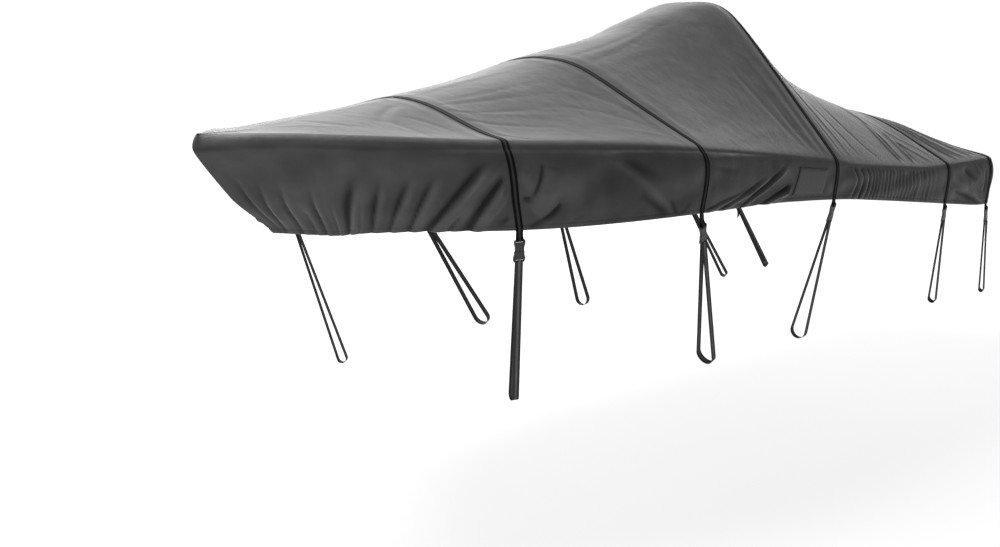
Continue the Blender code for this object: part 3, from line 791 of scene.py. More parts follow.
def eased(points, travel, rim):
    """Sections with their rim rounded by a Gaussian mean along each.

    The mean counts most aft of the bow and, over a length TIP_SOFT, at the very tip.
    """
    reach = np.arange(-RIM_REACH, RIM_REACH + 1)
    weights = np.exp(-0.5 * (reach / RIM_EASE) ** 2)
    column = np.arange(points.shape[1])
    beside = np.clip(column[:, None] + reach, 0, len(column) - 1)
    mean = np.tensordot(points[:, beside], weights / weights.sum(), axes=(2, 0))
    near = np.exp(-0.5 * ((column - rim - BAND_ROWS / 2) / (2 * RIM_EASE)) ** 2)[None, :, None]
    amount = RIM_SOFT[0] + (1 - RIM_SOFT[0]) * smooth((travel - RIM_SOFT[1]) / RIM_SOFT[2])
    amount = np.maximum(amount, 1 - smooth(travel / TIP_SOFT))
    return points + (mean - points) * near * amount * smooth((Rim.total - travel) / 0.3)


# %% Half a section, and whole ones
def half_section(travel, side):
    """Smooth points, relief and shade of one half, a row for each station, from hem to ridge.

    Over the bow the shade paints a thin line of shade under the band by the first of BAND_SHADE,
    and a painted highlight on the band's edge by the second. Near the rim the roof has a little
    painted shade.
    """
    t = travel[:, None]
    x, y, out_x, out_y = Rim.at(t)
    drop = roof_height(x, y) - section("band", x) - section("hem", x)
    above, fullness = CASING.T
    even = np.linspace(1, 0, SKIRT_COLUMNS[side])[None, 1:]
    down = np.concatenate([1 - above / drop, (1 - above[-1] / drop) * even], axis=1)
    lower = skirt(t, down, side)
    low_relief, low_shade = skirt_relief(t, down, side)
    low_relief[:, : len(above)] += fullness
    upper = roof(t, np.linspace(1, 0, ROOF_COLUMNS[side])[None, :], side)
    high_relief = roof_relief(upper, np.broadcast_to(t, upper.shape[:2]), side)
    high_relief = high_relief * smooth(np.arange(ROOF_COLUMNS[side]) / 3)
    climb = np.linspace(0, 1, BAND_ROWS + 2)[None, 1:-1]
    crease, edge = lower[:, -1:], upper[:, :1]
    bulge = BAND_BULGE * section("band", x) * np.sin(np.pi * climb) * (0.15 + 0.85 * strap_calm(t))
    normal = np.stack([out_x, side * out_y, 0 * out_x], axis=-1)
    band = crease + (edge - crease) * climb[..., None] + normal * bulge[..., None]
    points = eased(np.concatenate([lower, band, upper], axis=1), t[..., None], lower.shape[1])
    relief = np.concatenate([low_relief, np.zeros(band.shape[:2]), high_relief], axis=1)
    # Painted shade in the crease under the band over the bow, and a painted highlight on the band's
    # edge
    uneven = (0.6 + 0.4 * np.sin(17 * t) * np.sin(7.3 * t + 1)) * smooth((BAND_SHOWS - t) / 0.6)
    dark, pale = BAND_SHADE
    low_shade[:, -2:] -= dark * uneven
    band_shade = (pale * np.minimum(1, 3 * climb) - dark * (1 - 3 * climb).clip(0)) * uneven
    # Painted shade on the roof, deepest by the rim; ROOF_SHADE paints shade and highlight on its
    # creases
    rim_painted_shade = RIM_SHADE * np.linspace(1, 0, ROOF_COLUMNS[side]) ** 2
    shade = np.concatenate([low_shade, band_shade, ROOF_SHADE * high_relief - rim_painted_shade], axis=1)
    return points, relief, shade


def outward(points):
    """Normals of a grid whose rows go aft and whose columns go to starboard."""
    normals = unit(np.cross(np.gradient(points, axis=0), np.gradient(points, axis=1)))
    for end, beside in ((0, 1), (-1, -2)):
        if np.ptp(points[end, :, 1]) < 0.01:
            normals[end] = normals[beside] * (1, 0, 1)
            normals[end] = unit(normals[end])
    return normals


def surface(travel):
    """Smooth points, relief, shade and normals of whole sections, port hem to starboard hem."""
    halves = zip(*(half_section(travel, side) for side in SIDES.values()))
    points, relief, shade = (np.concatenate([port, far[:, -2::-1]], axis=1) for port, far in halves)
    return points, relief, shade, outward(points)


print("one section has", surface(np.linspace(2, 3, 3))[0].shape[1], "points")


# %% [markdown]
# ## One closed sheet
# The outer face needs fine steps, the inner face far fewer. So the grid's cross-section runs over
# the outside, round the starboard hem, back along the inside and round the port hem, and the last
# column joins the first. Where all sections meet, at the bow tip and the stern's middle, doubled
# points are merged. The inner face keeps HEM_COLUMNS of the outer one's columns by each hem, and
# every few of INNER_EVERY up to the ridge. Each of them goes in past the deepest fold between its
# neighbours, and a CHORD_CLEAR more, so that it never shows through. Solidify could give the cloth
# its inner face, but with as many steps as the outer one has.

# %% Stations and the inner face
STRETCHES = (
    (0.0, 0.0130), (1.90, 0.020), (2.80, 0.0145), (4.10, 0.022), (4.62, 0.0105), (5.75, 0.020),
    (6.20, 0.014), (7.1, 0.08)
)
INNER_EVERY = {-1: 13, 1: 6}
HEM_COLUMNS = (0, 3, 8)
HEM_ROUND = 0.0015
CHORD_CLEAR = 0.0008


def stations():
    """Distances along the rim of every section, one of them exactly on each strap."""
    starts = [start for start, _ in STRETCHES] + [Rim.total]
    found = np.concatenate([
        start + (end - start) * np.arange(count) / count
        for (start, step), end in zip(STRETCHES, starts[1:])
        for count in [max(1, round((end - start) / step))]
    ] + [[Rim.total]])
    for strap in STRAPS.values():
        found[np.abs(found - strap["travel"]).argmin()] = strap["travel"]
    return found


def inner_face(points, relief, normals, visible):
    """A coarser face inside the cloth, each column under the deepest fold beside it."""
    last = points.shape[1] - 1
    ridge = np.abs(points[len(points) // 2, :, 1]).argmin()
    port = np.arange(ridge, HEM_COLUMNS[-1], -INNER_EVERY[-1])
    starboard = np.arange(ridge, last - HEM_COLUMNS[-1], INNER_EVERY[1])
    coarse = np.unique(np.concatenate([HEM_COLUMNS, port, starboard, last - np.array(HEM_COLUMNS)]))
    around = zip(np.r_[0, coarse[:-1]], np.r_[coarse[1:], last])
    lowest = np.stack([relief[:, low: high + 1].min(axis=1) for low, high in around], axis=1)
    sunk = CLOTH + CHORD_CLEAR - np.minimum(lowest, 0)
    inner = points[:, coarse] - normals[:, coarse] * sunk[..., None]
    for edge in (0, -1):
        inner[:, edge] = visible[:, edge] - normals[:, edge] * CLOTH
    return inner


print(len(stations()), "sections along the rim")


# %% The cover
travel = stations()
points, relief, shade, normals = surface(travel)
visible = points + normals * relief[..., None]
inner = inner_face(points, relief, normals, visible)
edges = [(visible[:, k] + inner[:, k])[:, None] / 2 - (0, 0, HEM_ROUND) for k in (-1, 0)]
shell = np.concatenate([visible, edges[0], inner[:, ::-1], edges[1]], axis=1)
steps = np.linalg.norm(np.diff(shell, axis=1), axis=-1).cumsum(axis=1)
across = np.concatenate([np.zeros((len(shell), 1)), steps], axis=1)
uv = np.stack([np.broadcast_to(travel[:, None], across.shape), across], axis=-1)
faces = grid_faces(*shell.shape[:2], closed_columns=True)
inner_shade = np.zeros((len(shell), shell.shape[1] - shade.shape[1]))
shade = np.concatenate([shade, inner_shade], axis=1)
cover = made_mesh("cover_cloth", shell, faces[:, ::-1], uv, shade, merge=1e-5)
print("relief from", round(relief.min() * 1000, 1), "to", round(relief.max() * 1000, 1), "mm")

# %% [markdown]
# ## The finish of the cloth
# Coated polyester is a dark grey plain weave. Its coating gives it a broad soft shine, and its
# fibres scatter light at a grazing angle, which is why the top looks far paler than the side. The
# weave, its small puckers and a faint wear come from patterns laid out in metres of cloth, which
# the UV map holds, so they follow the sheet round its folds.

# %% Patterns on the cloth
WEAVE = {"pitch": 0.0012, "depth": 0.0002, "strength": 0.5}


def stretched(tree, scale):
    """The piece's own UV map in metres, stretched by a scale along and across the cloth."""
    place_on = add_node(tree, "UVMap", uv_map="cloth")
    return add_node(tree, "Mapping", {"Vector": place_on.outputs["UV"], "Scale": scale}).outputs[0]


def noise(tree, vector, scale, detail=3.0):
    """Soft clouds of a scale."""
    inputs = {"Vector": vector, "Scale": scale, "Detail": detail}
    return add_node(tree, "TexNoise", inputs).outputs["Fac"]


def spread(tree, value, low, high):
    """Soft clouds, which mostly lie from 0.3 to 0.7, mapped on to a range."""
    return ranged(tree, value, (0.3, low), (0.7, high))


def ribs(tree, vector, pitch, direction, distortion=0.0):
    """Even ribs at a pitch in metres. A wave texture of scale 1 has about 3.2 bands a metre."""
    inputs = {"Vector": vector, "Scale": 0.31 / pitch, "Distortion": distortion}
    return add_node(tree, "TexWave", inputs, bands_direction=direction).outputs["Fac"]


def bump(tree, height, distance, strength, below=None):
    """A bump of a height in metres, over another bump if given."""
    inputs = {"Height": height, "Distance": distance, "Strength": strength}
    if below is not None:
        inputs["Normal"] = below
    return add_node(tree, "Bump", inputs).outputs["Normal"]


def woven(tree, below=None):
    """A plain weave's bump: ribs along the cloth times ribs across it."""
    vector = stretched(tree, (1, 1, 1))
    threads = {k: ribs(tree, vector, WEAVE["pitch"], way) for k, way in enumerate("XY")}
    height = add_node(tree, "Math", threads, operation="MULTIPLY").outputs[0]
    return bump(tree, height, WEAVE["depth"], WEAVE["strength"], below)


def two_tones(tree, factor, dark, pale):
    """A colour between two, by a factor."""
    mixed = add_node(tree, "Mix", {"Factor": factor}, data_type="RGBA")
    for name, colour in (("A", dark), ("B", pale)):
        socket = next(s for s in mixed.inputs if s.name == name and s.type == "RGBA")
        socket.default_value = (*colour, 1)
    return next(s for s in mixed.outputs if s.type == "RGBA")


# %% [markdown]
# The cloth's finish reads how deep each point lies in a fold, from the shade that the sheet
# carries. A fold's bottom is darker, which is painted shade, and rougher; its top is paler,
# which is a painted highlight, and smoother.

# %% Cloth
CLOTH_TONES = (0.029, 0.043)
FOLD_PAINTED_SHADE = ((-0.018, 0.38), (0.010, 1.30))
FOLD_ROUGHNESS = ((-0.016, 0.85), (0.004, 0.53))
cloth, tree, shader = new_look("cloth", (0.036, 0.036, 0.036), 0.55)
wear = spread(tree, noise(tree, stretched(tree, (1.0, 1.6, 1.0)), 5.0, 6.0), *CLOTH_TONES)
in_fold = add_node(tree, "Attribute", attribute_name="shade").outputs["Fac"]
# Painted shade in the folds' troughs and a painted highlight on their ridges, from the shade number
folded = ranged(tree, in_fold, *FOLD_PAINTED_SHADE)
tone = add_node(tree, "Math", {0: wear, 1: folded}, operation="MULTIPLY").outputs[0]
tree.links.new(tone, shader.inputs["Base Color"])
tree.links.new(ranged(tree, in_fold, *FOLD_ROUGHNESS), shader.inputs["Roughness"])
shader.inputs["Specular IOR Level"].default_value = 0.3
shader.inputs["Sheen Weight"].default_value = 0.2
shader.inputs["Sheen Roughness"].default_value = 0.35
soft_clouds = noise(tree, stretched(tree, (1.0, 0.7, 1.0)), 12.0, 2.0)
fine_clouds = noise(tree, stretched(tree, (1.0, 1.3, 1.0)), 60.0, 4.0)
puckers = bump(tree, soft_clouds, 0.012, 0.3)
crinkles = bump(tree, fine_clouds, 0.0014, 0.35, puckers)
tree.links.new(woven(tree, crinkles), shader.inputs["Normal"])
dress(cover, cloth, "cloth", "cover")

# %% [markdown]
# ## Webbing
# The straps are 40 mm polyester webbing: 2 mm thick, with rolled edges that are a little fuller
# than the middle. A curve with a flat bevel could make it, but here the profile is carried along
# each path as an array, because over the cover it has to bend with the cloth across its width too.

# %% The webbing's profile and its rings
WEBBING = 0.002
GAP = 0.0018
SNUG = 0.0006
PROFILE = np.array([
    (-0.0192, 0.0000), (-0.0160, 0.0001), (-0.0080, 0.0002), (0.0080, 0.0002), (0.0160, 0.0001),
    (0.0192, 0.0000), (0.0199, 0.0004), (0.0200, 0.0010), (0.0199, 0.0016), (0.0192, 0.0020),
    (0.0160, 0.0019), (0.0080, 0.0017), (-0.0080, 0.0017), (-0.0160, 0.0019), (-0.0192, 0.0020),
    (-0.0199, 0.0016), (-0.0200, 0.0010), (-0.0199, 0.0004),
])


def rings_along(centres, across, closed=False):
    """The profile carried along a path, across to one side and up square to the path."""
    around = np.concatenate([centres[-1:], centres, centres[:1]]) if closed else centres
    ahead = np.gradient(around, axis=0)[1:-1] if closed else np.gradient(centres, axis=0)
    across = np.broadcast_to(across, centres.shape)
    up = unit(np.cross(unit(ahead), across))
    aside, above = PROFILE.T[:, None, :, None]
    return centres[:, None] + across[:, None] * aside + up[:, None] * above


def made_webbing(name, rings, closed=False):
    """A closed body through rings of the profile, with its width and length as its UV map."""
    length = run_along(rings.mean(axis=1))
    uv = np.stack(np.broadcast_arrays(PROFILE[:, 0], length[:, None]), axis=-1)
    count = rings.shape[1]
    faces = grid_faces(len(rings), count, closed_rows=closed, closed_columns=True)
    last = (len(rings) - 1) * count
    caps = () if closed else (list(range(count)), list(range(last + count - 1, last - 1, -1)))
    return made_mesh(name, rings, faces, uv, caps=caps, solid=True)


def rounded(corners, radius, steps=5):
    """A path through corners, each replaced by a short curve that starts a radius before it."""
    corners = np.asarray(corners, float)
    before, corner, after = corners[:-2], corners[1:-1], corners[2:]
    back, ahead = before - corner, after - corner
    room = np.minimum(np.linalg.norm(back, axis=1), np.linalg.norm(ahead, axis=1))
    reach = np.minimum(radius, 0.49 * room)
    first = corner + unit(back) * reach[:, None]
    last = corner + unit(ahead) * reach[:, None]
    t = np.linspace(0, 1, steps)[None, :, None]
    bends = (1 - t) ** 2 * first[:, None] + 2 * t * (1 - t) * corner[:, None] + t**2 * last[:, None]
    return np.concatenate([corners[:1], bends.reshape(-1, corners.shape[1]), corners[-1:]])


print("webbing", round(float(np.ptp(PROFILE[:, 0])), 4), "m broad,", len(PROFILE), "points round it")

# %% [markdown]
# ## The frame under each strap's end
# Real webbing is cut from a roll, folded and sewn. Here its folds are corners of a flat path.
# Each end of a strap runs straight from the hem to where its loop goes round what it is tied to.
# Three directions make a frame there: down along the strap, out from the cover, and across. The
# strap goes down behind the buckle's bar, round it and back up as a sewn tab, and the loop goes
# through the lower half's slot, down round its foot and up again.

# %% Strap ends
HALF_LENGTH = 0.064
BUCKLE_THICKNESS = 0.012
BAR = 0.007
TAB = 0.030
JOINT_GAP = 0.0004
BAR_CORNER = 0.003
FRONT = 2 * WEBBING + 2 * SNUG + BUCKLE_THICKNESS
BESIDE = 2 * WEBBING + SNUG
TURN_RADIUS = 0.0045
FOOT_STEPS = 15


class StrapEnd:
    """The frame under one end of a strap, from the hem's point and the cloth's normal there."""

    def __init__(self, strap, side, hem, normal):
        self.top = strap["below_hem"]
        self.radius = strap["foot_width"] / 2
        self.hem = hem + normal * GAP
        foot = place(strap["foot_x"], side * (strap["foot_y"] - self.radius), self.radius)
        self.length = np.linalg.norm(foot - self.hem)
        self.down = (foot - self.hem) / self.length
        self.out = unit(normal - self.down * (normal @ self.down))
        self.across = np.cross(self.out, self.down)
        self.bottom = self.top + 2 * HALF_LENGTH + JOINT_GAP

    def path(self, route):
        """Points from how far each stands off the webbing's line, and how far below the hem."""
        out, down = np.asarray(route).T[..., None]
        return self.hem + self.out * out + self.down * down

    def sewn(self):
        """Down to the upper half, round its bar from behind, and back up as a tab."""
        under = self.top + BAR
        turn = under + SNUG + WEBBING
        lifted = self.top - BAR_CORNER
        return self.path(rounded([
            (0, 0.3 * self.top), (0, turn), (FRONT, turn), (FRONT, lifted),
            (BESIDE, lifted - FRONT + BESIDE), (BESIDE, self.top - TAB),
        ], TURN_RADIUS))

    def looped(self):
        """A ring through the lower half's slot, behind its bar, round the foot and up in front."""
        over = self.bottom - BAR - SNUG - WEBBING
        turn = np.linspace(0, np.pi, FOOT_STEPS)
        foot_out = FRONT / 2 - self.radius * np.cos(turn)
        foot = np.stack([foot_out, self.length + self.radius * np.sin(turn)], axis=-1)
        top = (FRONT / 2, over)
        down_leg = rounded([top, (0, over), (0, self.bottom), foot[0]], TURN_RADIUS)
        up_leg = rounded([foot[-1], (FRONT, self.bottom), (FRONT, over), top], TURN_RADIUS)
        return self.path(np.concatenate([down_leg[1:], foot[1:-1], up_leg]))

    def matrix(self, down):
        """Axes and middle of a buckle half: across, up the strap, and out."""
        origin = self.path([(WEBBING + SNUG + BUCKLE_THICKNESS / 2, down)])[0]
        return np.stack([self.across, -self.down, self.out]), origin


# %% Each strap's way over the cover
def strap_rings(where, ends):
    """Rings of a whole over-strap: one sewn end, the run over the cloth, and the other end."""
    offsets, index = np.unique(PROFILE[:, 0], return_inverse=True)
    smooth_points, relief, _, normals = surface(STRAPS[where]["travel"] - offsets[::-1])
    order = len(offsets) - 1 - index
    cloth_points = smooth_points + normals * (relief + GAP)[..., None]
    over = cloth_points[order] + normals[order] * PROFILE[:, 1][:, None, None]
    port, starboard = ends["port"], ends["starboard"]
    first = rings_along(port.sewn()[::-1], -port.across)
    last = rings_along(starboard.sewn(), starboard.across)
    return np.concatenate([first, over.transpose(1, 0, 2), last])


strap_ends = {}
for where, strap in STRAPS.items():
    at = np.abs(travel - strap["travel"]).argmin()
    strap_ends[where] = {
        side: StrapEnd(strap, sign, points[at, hem_column], normals[at, hem_column])
        for (side, sign), hem_column in zip(SIDES.items(), (0, -1))
    }
print("webbing from hem to foot:", {
    where: round(float(ends["port"].length), 3) for where, ends in strap_ends.items()
})

# %% [markdown]
# ## The finish of the webbing
# Webbing shows ribs across its width and finer yarns along it. Its two edges are darker than its
# middle, and the straps over the cover are blacker than the faded loops below. Ribs could be real
# bumps in the mesh, but at this size a wave in the shader looks the same.

# %% Webbing material
RIB_PITCH = 0.0024
YARN_PITCH = 0.0016
DARK_EDGES = ((0.003, 1.0), (0.009, 0.0))


def webbing_look(name, dark, pale):
    """Ribs across the webbing, darker edges, and slow fading along its length."""
    look, tree, shader = new_look(name, pale, 0.8)
    shader.inputs["Specular IOR Level"].default_value = 0.08
    uv = add_node(tree, "UVMap", uv_map="cloth").outputs["UV"]
    side = add_node(tree, "SeparateXYZ", {"Vector": uv}).outputs["X"]
    off = add_node(tree, "Math", {0: side}, operation="ABSOLUTE").outputs[0]
    middle = ranged(tree, off, *DARK_EDGES)
    fading = spread(tree, noise(tree, uv, 9.0), 0.55, 1.0)
    factor = add_node(tree, "Math", {0: middle, 1: fading}, operation="MULTIPLY").outputs[0]
    tree.links.new(two_tones(tree, factor, dark, pale), shader.inputs["Base Color"])
    low = bump(tree, ribs(tree, uv, RIB_PITCH, "Y", 0.4), 0.0004, 0.8)
    fine = bump(tree, ribs(tree, uv, YARN_PITCH, "X"), 0.0002, 0.5, low)
    tree.links.new(fine, shader.inputs["Normal"])
    return look


strap_webbing = webbing_look("strap_webbing", (0.002, 0.002, 0.002), (0.038, 0.038, 0.038))
loop_webbing = webbing_look("loop_webbing", (0.035, 0.035, 0.035), (0.125, 0.125, 0.123))
print("two webbings, with a rib every", RIB_PITCH, "m")

# %% [markdown]
# ## Straps, loops and loose ends
# Five straps go over the cover, a loop hangs under each of their ten ends, and a loose end hangs
# in front of each stern loop. All of them are the same profile on different paths.

# %% All the webbing
TAIL = np.array([(0.004, 0.0), (0.05, 0.0), (0.10, 0.004), (0.135, 0.020), (0.17, 0.045)])
TAIL_LIFT = 0.3
TAIL_STEPS = 40
LOOP_STEP = 0.02


def tail_path(end):
    """The loose end: down the front of its loop, then away from it and forwards in a soft curve."""
    along = np.linspace(0, len(TAIL) - 1, TAIL_STEPS)
    below, forward = (np.interp(along, np.arange(len(TAIL)), column) for column in TAIL.T)
    forward = np.convolve(np.pad(forward, 4, mode="edge"), np.ones(9) / 9, "valid")
    front = FRONT + (end.radius - FRONT / 2) * below / (end.length - end.bottom)
    centres = end.path(np.stack([front + SNUG + TAIL_LIFT * forward, end.bottom + below], axis=-1))
    centres[:, 0] -= forward
    return centres


def densified(path, step):
    """A path with points added so that none is further than a step from the next."""
    length = run_along(path)
    extra = np.arange(step, length[-1], step)
    at = np.unique(np.round(np.concatenate([length, extra]), 6))
    return spots_at(at, length, path)


made = []
for where, ends in strap_ends.items():
    strap_piece = made_webbing(f"webbing_{where}", strap_rings(where, ends))
    made.append(strap_piece)
    dress(strap_piece, strap_webbing, "webbing", f"strap_{where}")
    for side, end in ends.items():
        tag = f"{where}_{side}"
        ring = densified(end.looped(), LOOP_STEP)
        loop = made_webbing(f"tie_{tag}", rings_along(ring, end.across, closed=True), closed=True)
        dress(loop, loop_webbing, "webbing", f"loop_{tag}")
        made.append(loop)
        if where == "stern":
            tail = made_webbing(f"loose_{tag}", rings_along(tail_path(end), end.across))
            dress(tail, loop_webbing, "webbing", f"tail_{tag}")
            made.append(tail)
print("webbing pieces:", len(made))

# %% [markdown]
# ## The buckles
# A side-release buckle is two nylon mouldings. The upper one is a socket with a window on each
# side, where the clip's prongs spring out, and the lower one is the clip with its two ribbed ears.
# Each has a slot and a bar for webbing. A bevelled outline would leave flat faces, so each half is
# a skin stretched between its outline and its slot: rounded at both edges, with its windows and
# ribs raised or sunk by a formula in its own width and height.

# %% Buckle halves
SLOT = (0.044, 0.009)
SOCKET_OUTLINE = ((0.027, 0.0), (0.031, 0.004), (0.031, 0.022), (0.025, 0.042), (0.025, 0.064))
CLIP_OUTLINE = ((0.025, 0.0), (0.033, 0.012), (0.033, 0.030), (0.028, 0.042), (0.028, 0.064))
RING_COUNTS = (18, 26, 18, 26)
CORNER_PASSES = 2
EDGE_RADIUS = 0.0022
SLOT_RADIUS = 0.0012
CROWN = 0.0010
FACE_STEPS = 14


def sampled(path, count):
    """Evenly spaced points along a path, without its last one."""
    path = np.asarray(path, float)
    length = run_along(path)
    return spots_at(np.linspace(0, length[-1], count, endpoint=False), length, path)


def softened(ring, passes):
    """A closed ring with its corners rounded by averaging each point with its neighbours."""
    for _ in range(passes):
        ring = (np.roll(ring, 1, axis=0) + 2 * ring + np.roll(ring, -1, axis=0)) / 4
    return ring


def rims_of(outline):
    """The outline and the slot as rings whose points belong together: end, side, end and side."""
    right = np.array(outline)
    left = right * (-1, 1)
    sides = ([left[0], right[0]], right, [right[-1], left[-1]], left[::-1])
    outer = np.concatenate([sampled(path, n) for path, n in zip(sides, RING_COUNTS)])
    half, low, high = SLOT[0] / 2, BAR, BAR + SLOT[1]
    slot = ([(-half, low), (half, low)], [(half, low), (half, high)],
            [(half, high), (-half, high)], [(-half, high), (-half, low)])
    inner = np.concatenate([sampled(path, n) for path, n in zip(slot, RING_COUNTS)])
    return softened(outer, CORNER_PASSES), softened(inner, 1)


# %% What is raised or sunk on each half
def hollow(x, y, middle, half, edge):
    """1 inside a rectangle, 0 outside it, with a soft edge."""
    inside = np.minimum(half[0] - np.abs(x - middle[0]), half[1] - np.abs(y - middle[1]))
    return smooth(inside / edge)


def socket_relief(x, y):
    """Windows for the prongs at both sides, a sunk panel between them and a step by the slot."""
    x = np.abs(x)
    windows = 0.0035 * hollow(x, y, (0.0205, 0.043), (0.0028, 0.013), 0.0015)
    panel = 0.0012 * hollow(x, y, (0.0, 0.044), (0.0125, 0.012), 0.002)
    step = 0.0008 * hollow(x, y, (0.0, 0.024), (0.022, 0.0022), 0.0015)
    return -windows - panel - step


def clip_relief(x, y):
    """Ribs on the ears, a groove on each side of the middle and a sunk thumb rest."""
    x = np.abs(x)
    ears = smooth((x - 0.021) / 0.003) * smooth((y - 0.010) / 0.003) * smooth((0.034 - y) / 0.003)
    ribs = 0.0007 * ears * (1 - np.cos(2 * np.pi * y / 0.0042))
    grooves = 0.0022 * hollow(x, y, (0.0165, 0.046), (0.0018, 0.014), 0.0012)
    rest = 0.0014 * hollow(x, y, (0.0, 0.038), (0.010, 0.008), 0.004)
    return -ribs - grooves - rest


# %% The skin of a buckle half
def moulding(name, outline, form, up, axes, origin):
    """One buckle half: a skin from outline to slot and back underneath, closed both ways."""
    outer, inner = rims_of(outline)
    width = np.linalg.norm(inner - outer, axis=1)[:, None]
    quarter = np.linspace(0, np.pi / 2, 5)
    outer_edge = np.minimum(EDGE_RADIUS, 0.4 * width) * (1 - np.cos(quarter))
    slot_edge = width - np.minimum(SLOT_RADIUS, 0.3 * width) * (1 - np.cos(quarter))[::-1]
    start, end = outer_edge[:, -1:], slot_edge[:, :1]
    between = start + (end - start) * np.linspace(0, 1, FACE_STEPS)[1:-1]
    distance = np.concatenate([outer_edge, between, slot_edge], axis=1)
    fall = np.zeros_like(distance)
    fall[:, :5] = EDGE_RADIUS * (1 - np.sin(quarter))
    fall[:, -5:] = SLOT_RADIUS * (1 - np.sin(quarter))[::-1]
    flat = outer[:, None] + (inner - outer)[:, None] * (distance / width)[..., None]
    x, y = flat[..., 0], flat[..., 1]
    top = BUCKLE_THICKNESS / 2 - fall + form(x, y) - CROWN * (x / 0.031) ** 2
    bottom = -BUCKLE_THICKNESS / 2 + fall
    front = np.stack([x, up * y, top], axis=-1)
    back = np.stack([x, up * y, bottom], axis=-1)[:, ::-1]
    skin = np.concatenate([front, back], axis=1)
    skin = skin @ axes + origin
    faces = grid_faces(*skin.shape[:2], closed_rows=True, closed_columns=True)
    return made_mesh(name, skin, faces, solid=True)


# %% Ten buckles
nylon, tree, shader = new_look("nylon", (0.010, 0.010, 0.0105), 0.38)
object_place = add_node(tree, "TexCoord").outputs["Object"]
grain = bump(tree, noise(tree, object_place, 1400.0, 2.0), 0.0001, 0.5)
tree.links.new(grain, shader.inputs["Normal"])
scuffs = spread(tree, noise(tree, object_place, 60.0, 5.0), 0.32, 0.50)
tree.links.new(scuffs, shader.inputs["Roughness"])
for where, ends in strap_ends.items():
    for side, end in ends.items():
        tag = f"{where}_{side}"
        socket = moulding(f"socket_{tag}", SOCKET_OUTLINE, socket_relief, -1, *end.matrix(end.top))
        dress(socket, nylon, "buckle", f"buckle_upper_{tag}")
        clip = moulding(f"clip_{tag}", CLIP_OUTLINE, clip_relief, 1, *end.matrix(end.bottom))
        dress(clip, nylon, "buckle", f"buckle_lower_{tag}")
print("one buckle half:", len(clip.data.polygons) * 2, "triangles")

# %% [markdown]
# ## The patch
# A four-sided piece of the same cloth covers a worn spot on the port side. It follows the skirt,
# slightly proud of it, and dips towards its sewn edges. Solidify gives it its thickness, because
# both faces can share their steps.

# %% Patch
PATCH_TOP = 0.20
PATCH_FOOT = 0.85
PATCH = 0.0015
PATCH_SIZE = (0.37, 0.20)
PATCH_GRID = (56, 34)
PATCH_PILLOW = 0.0020
PATCH_SEAM = 0.009
SEAM_WIDTH = 0.003


def patch_surface(share_along, share_up, gap):
    """Points and normals on the skirt, at shares of the patch's length and height."""
    reach = Rim.reach(np.array(PATCH_SPAN))
    down = PATCH_FOOT + (PATCH_TOP - PATCH_FOOT) * share_up
    at = reach[0] + np.ptp(reach) * share_along + PATCH_LEAN * share_up
    port = SIDES["port"]
    spot = skirt(at, down, port)
    aft, below = skirt(at + 0.01, down, port) - spot, skirt(at, down + 0.01, port) - spot
    normal = unit(np.cross(below, aft))
    return spot + normal * (skirt_relief(at, down, port)[0] + gap)[..., None], normal


along, risen = np.meshgrid(*(np.linspace(0, 1, n) for n in PATCH_GRID), indexing="ij")
to_sides = [np.minimum(share, 1 - share) for share in (along, risen)]
edge_distance = np.minimum(to_sides[0] * PATCH_SIZE[0], to_sides[1] * PATCH_SIZE[1])
seam = np.exp(-(((edge_distance - PATCH_SEAM) / SEAM_WIDTH) ** 2))
pillow = PATCH_PILLOW * (smooth(edge_distance / 0.02) - 0.8 * seam)
patch_points, patch_normals = patch_surface(along, risen, GAP + pillow)
print("patch faces", "outwards" if patch_normals[..., 1].mean() < 0 else "inwards")
size = [np.linalg.norm(np.diff(patch_points, axis=k), axis=-1).sum(axis=k).mean() for k in (0, 1)]
patch_uv = np.stack([along * size[0], risen * size[1]], axis=-1)
patch = made_mesh("patch_cloth", patch_points, grid_faces(*PATCH_GRID), patch_uv)
wall = patch.modifiers.new("thickness", "SOLIDIFY")
wall.thickness = PATCH
wall.offset = 1

# %% [markdown]
# The patch is less faded than the cloth around it, and painted shade darkens it along its sewn
# border, where it meets the skirt. The distance from its nearest side comes from its UV map: half
# its size less how far each point is off centre.

# %% The patch's finish
PATCH_EDGE_SHADE_AND_TONE = ((0.003, 0.003, 0.003), (0.016, 0.016, 0.016))
PAINTED_BORDER_SHADE = ((0.002, 0.0), (0.014, 1.0))
patch_look, tree, shader = new_look("patch_cloth", (0.05, 0.05, 0.05), 0.52)
flat_place = add_node(tree, "UVMap", uv_map="cloth").outputs["UV"]
centring = {"Vector": flat_place, "Location": (-size[0] / 2, -size[1] / 2, 0)}
centred = add_node(tree, "Mapping", centring)
reach = add_node(tree, "VectorMath", {0: centred.outputs[0]}, operation="ABSOLUTE").outputs[0]
parts = add_node(tree, "SeparateXYZ", {"Vector": reach})
insets = [
    add_node(tree, "Math", {0: size[k] / 2, 1: parts.outputs[k]}, operation="SUBTRACT").outputs[0]
    for k in (0, 1)
]
from_edge = add_node(tree, "Math", {0: insets[0], 1: insets[1]}, operation="MINIMUM").outputs[0]
# Painted shade along the patch's sewn border, where it meets the skirt
painted_edge_factor = ranged(tree, from_edge, *PAINTED_BORDER_SHADE)
tree.links.new(two_tones(tree, painted_edge_factor, *PATCH_EDGE_SHADE_AND_TONE), shader.inputs["Base Color"])
shader.inputs["Specular IOR Level"].default_value = 0.3
shader.inputs["Sheen Weight"].default_value = 0.12
tree.links.new(woven(tree), shader.inputs["Normal"])
dress(patch, patch_look, "cloth", "patch")

# %% [markdown]
# ## Stitches
# Thread shows at the hem's casing, round the patch and in a box on each sewn tab. One stitch is a
# bent bar of four-sided section. Instances on a curve could place them, but it is simpler to copy
# the bar along each path as one array, turned to the path, and to keep a row as one mesh.

# %% Stitching
THREAD = (0.0006, 0.0003)
BAR_RINGS = np.array([(-0.5, -0.6), (-0.3, 0.5), (0.0, 1.0), (0.3, 0.5), (0.5, -0.6)])


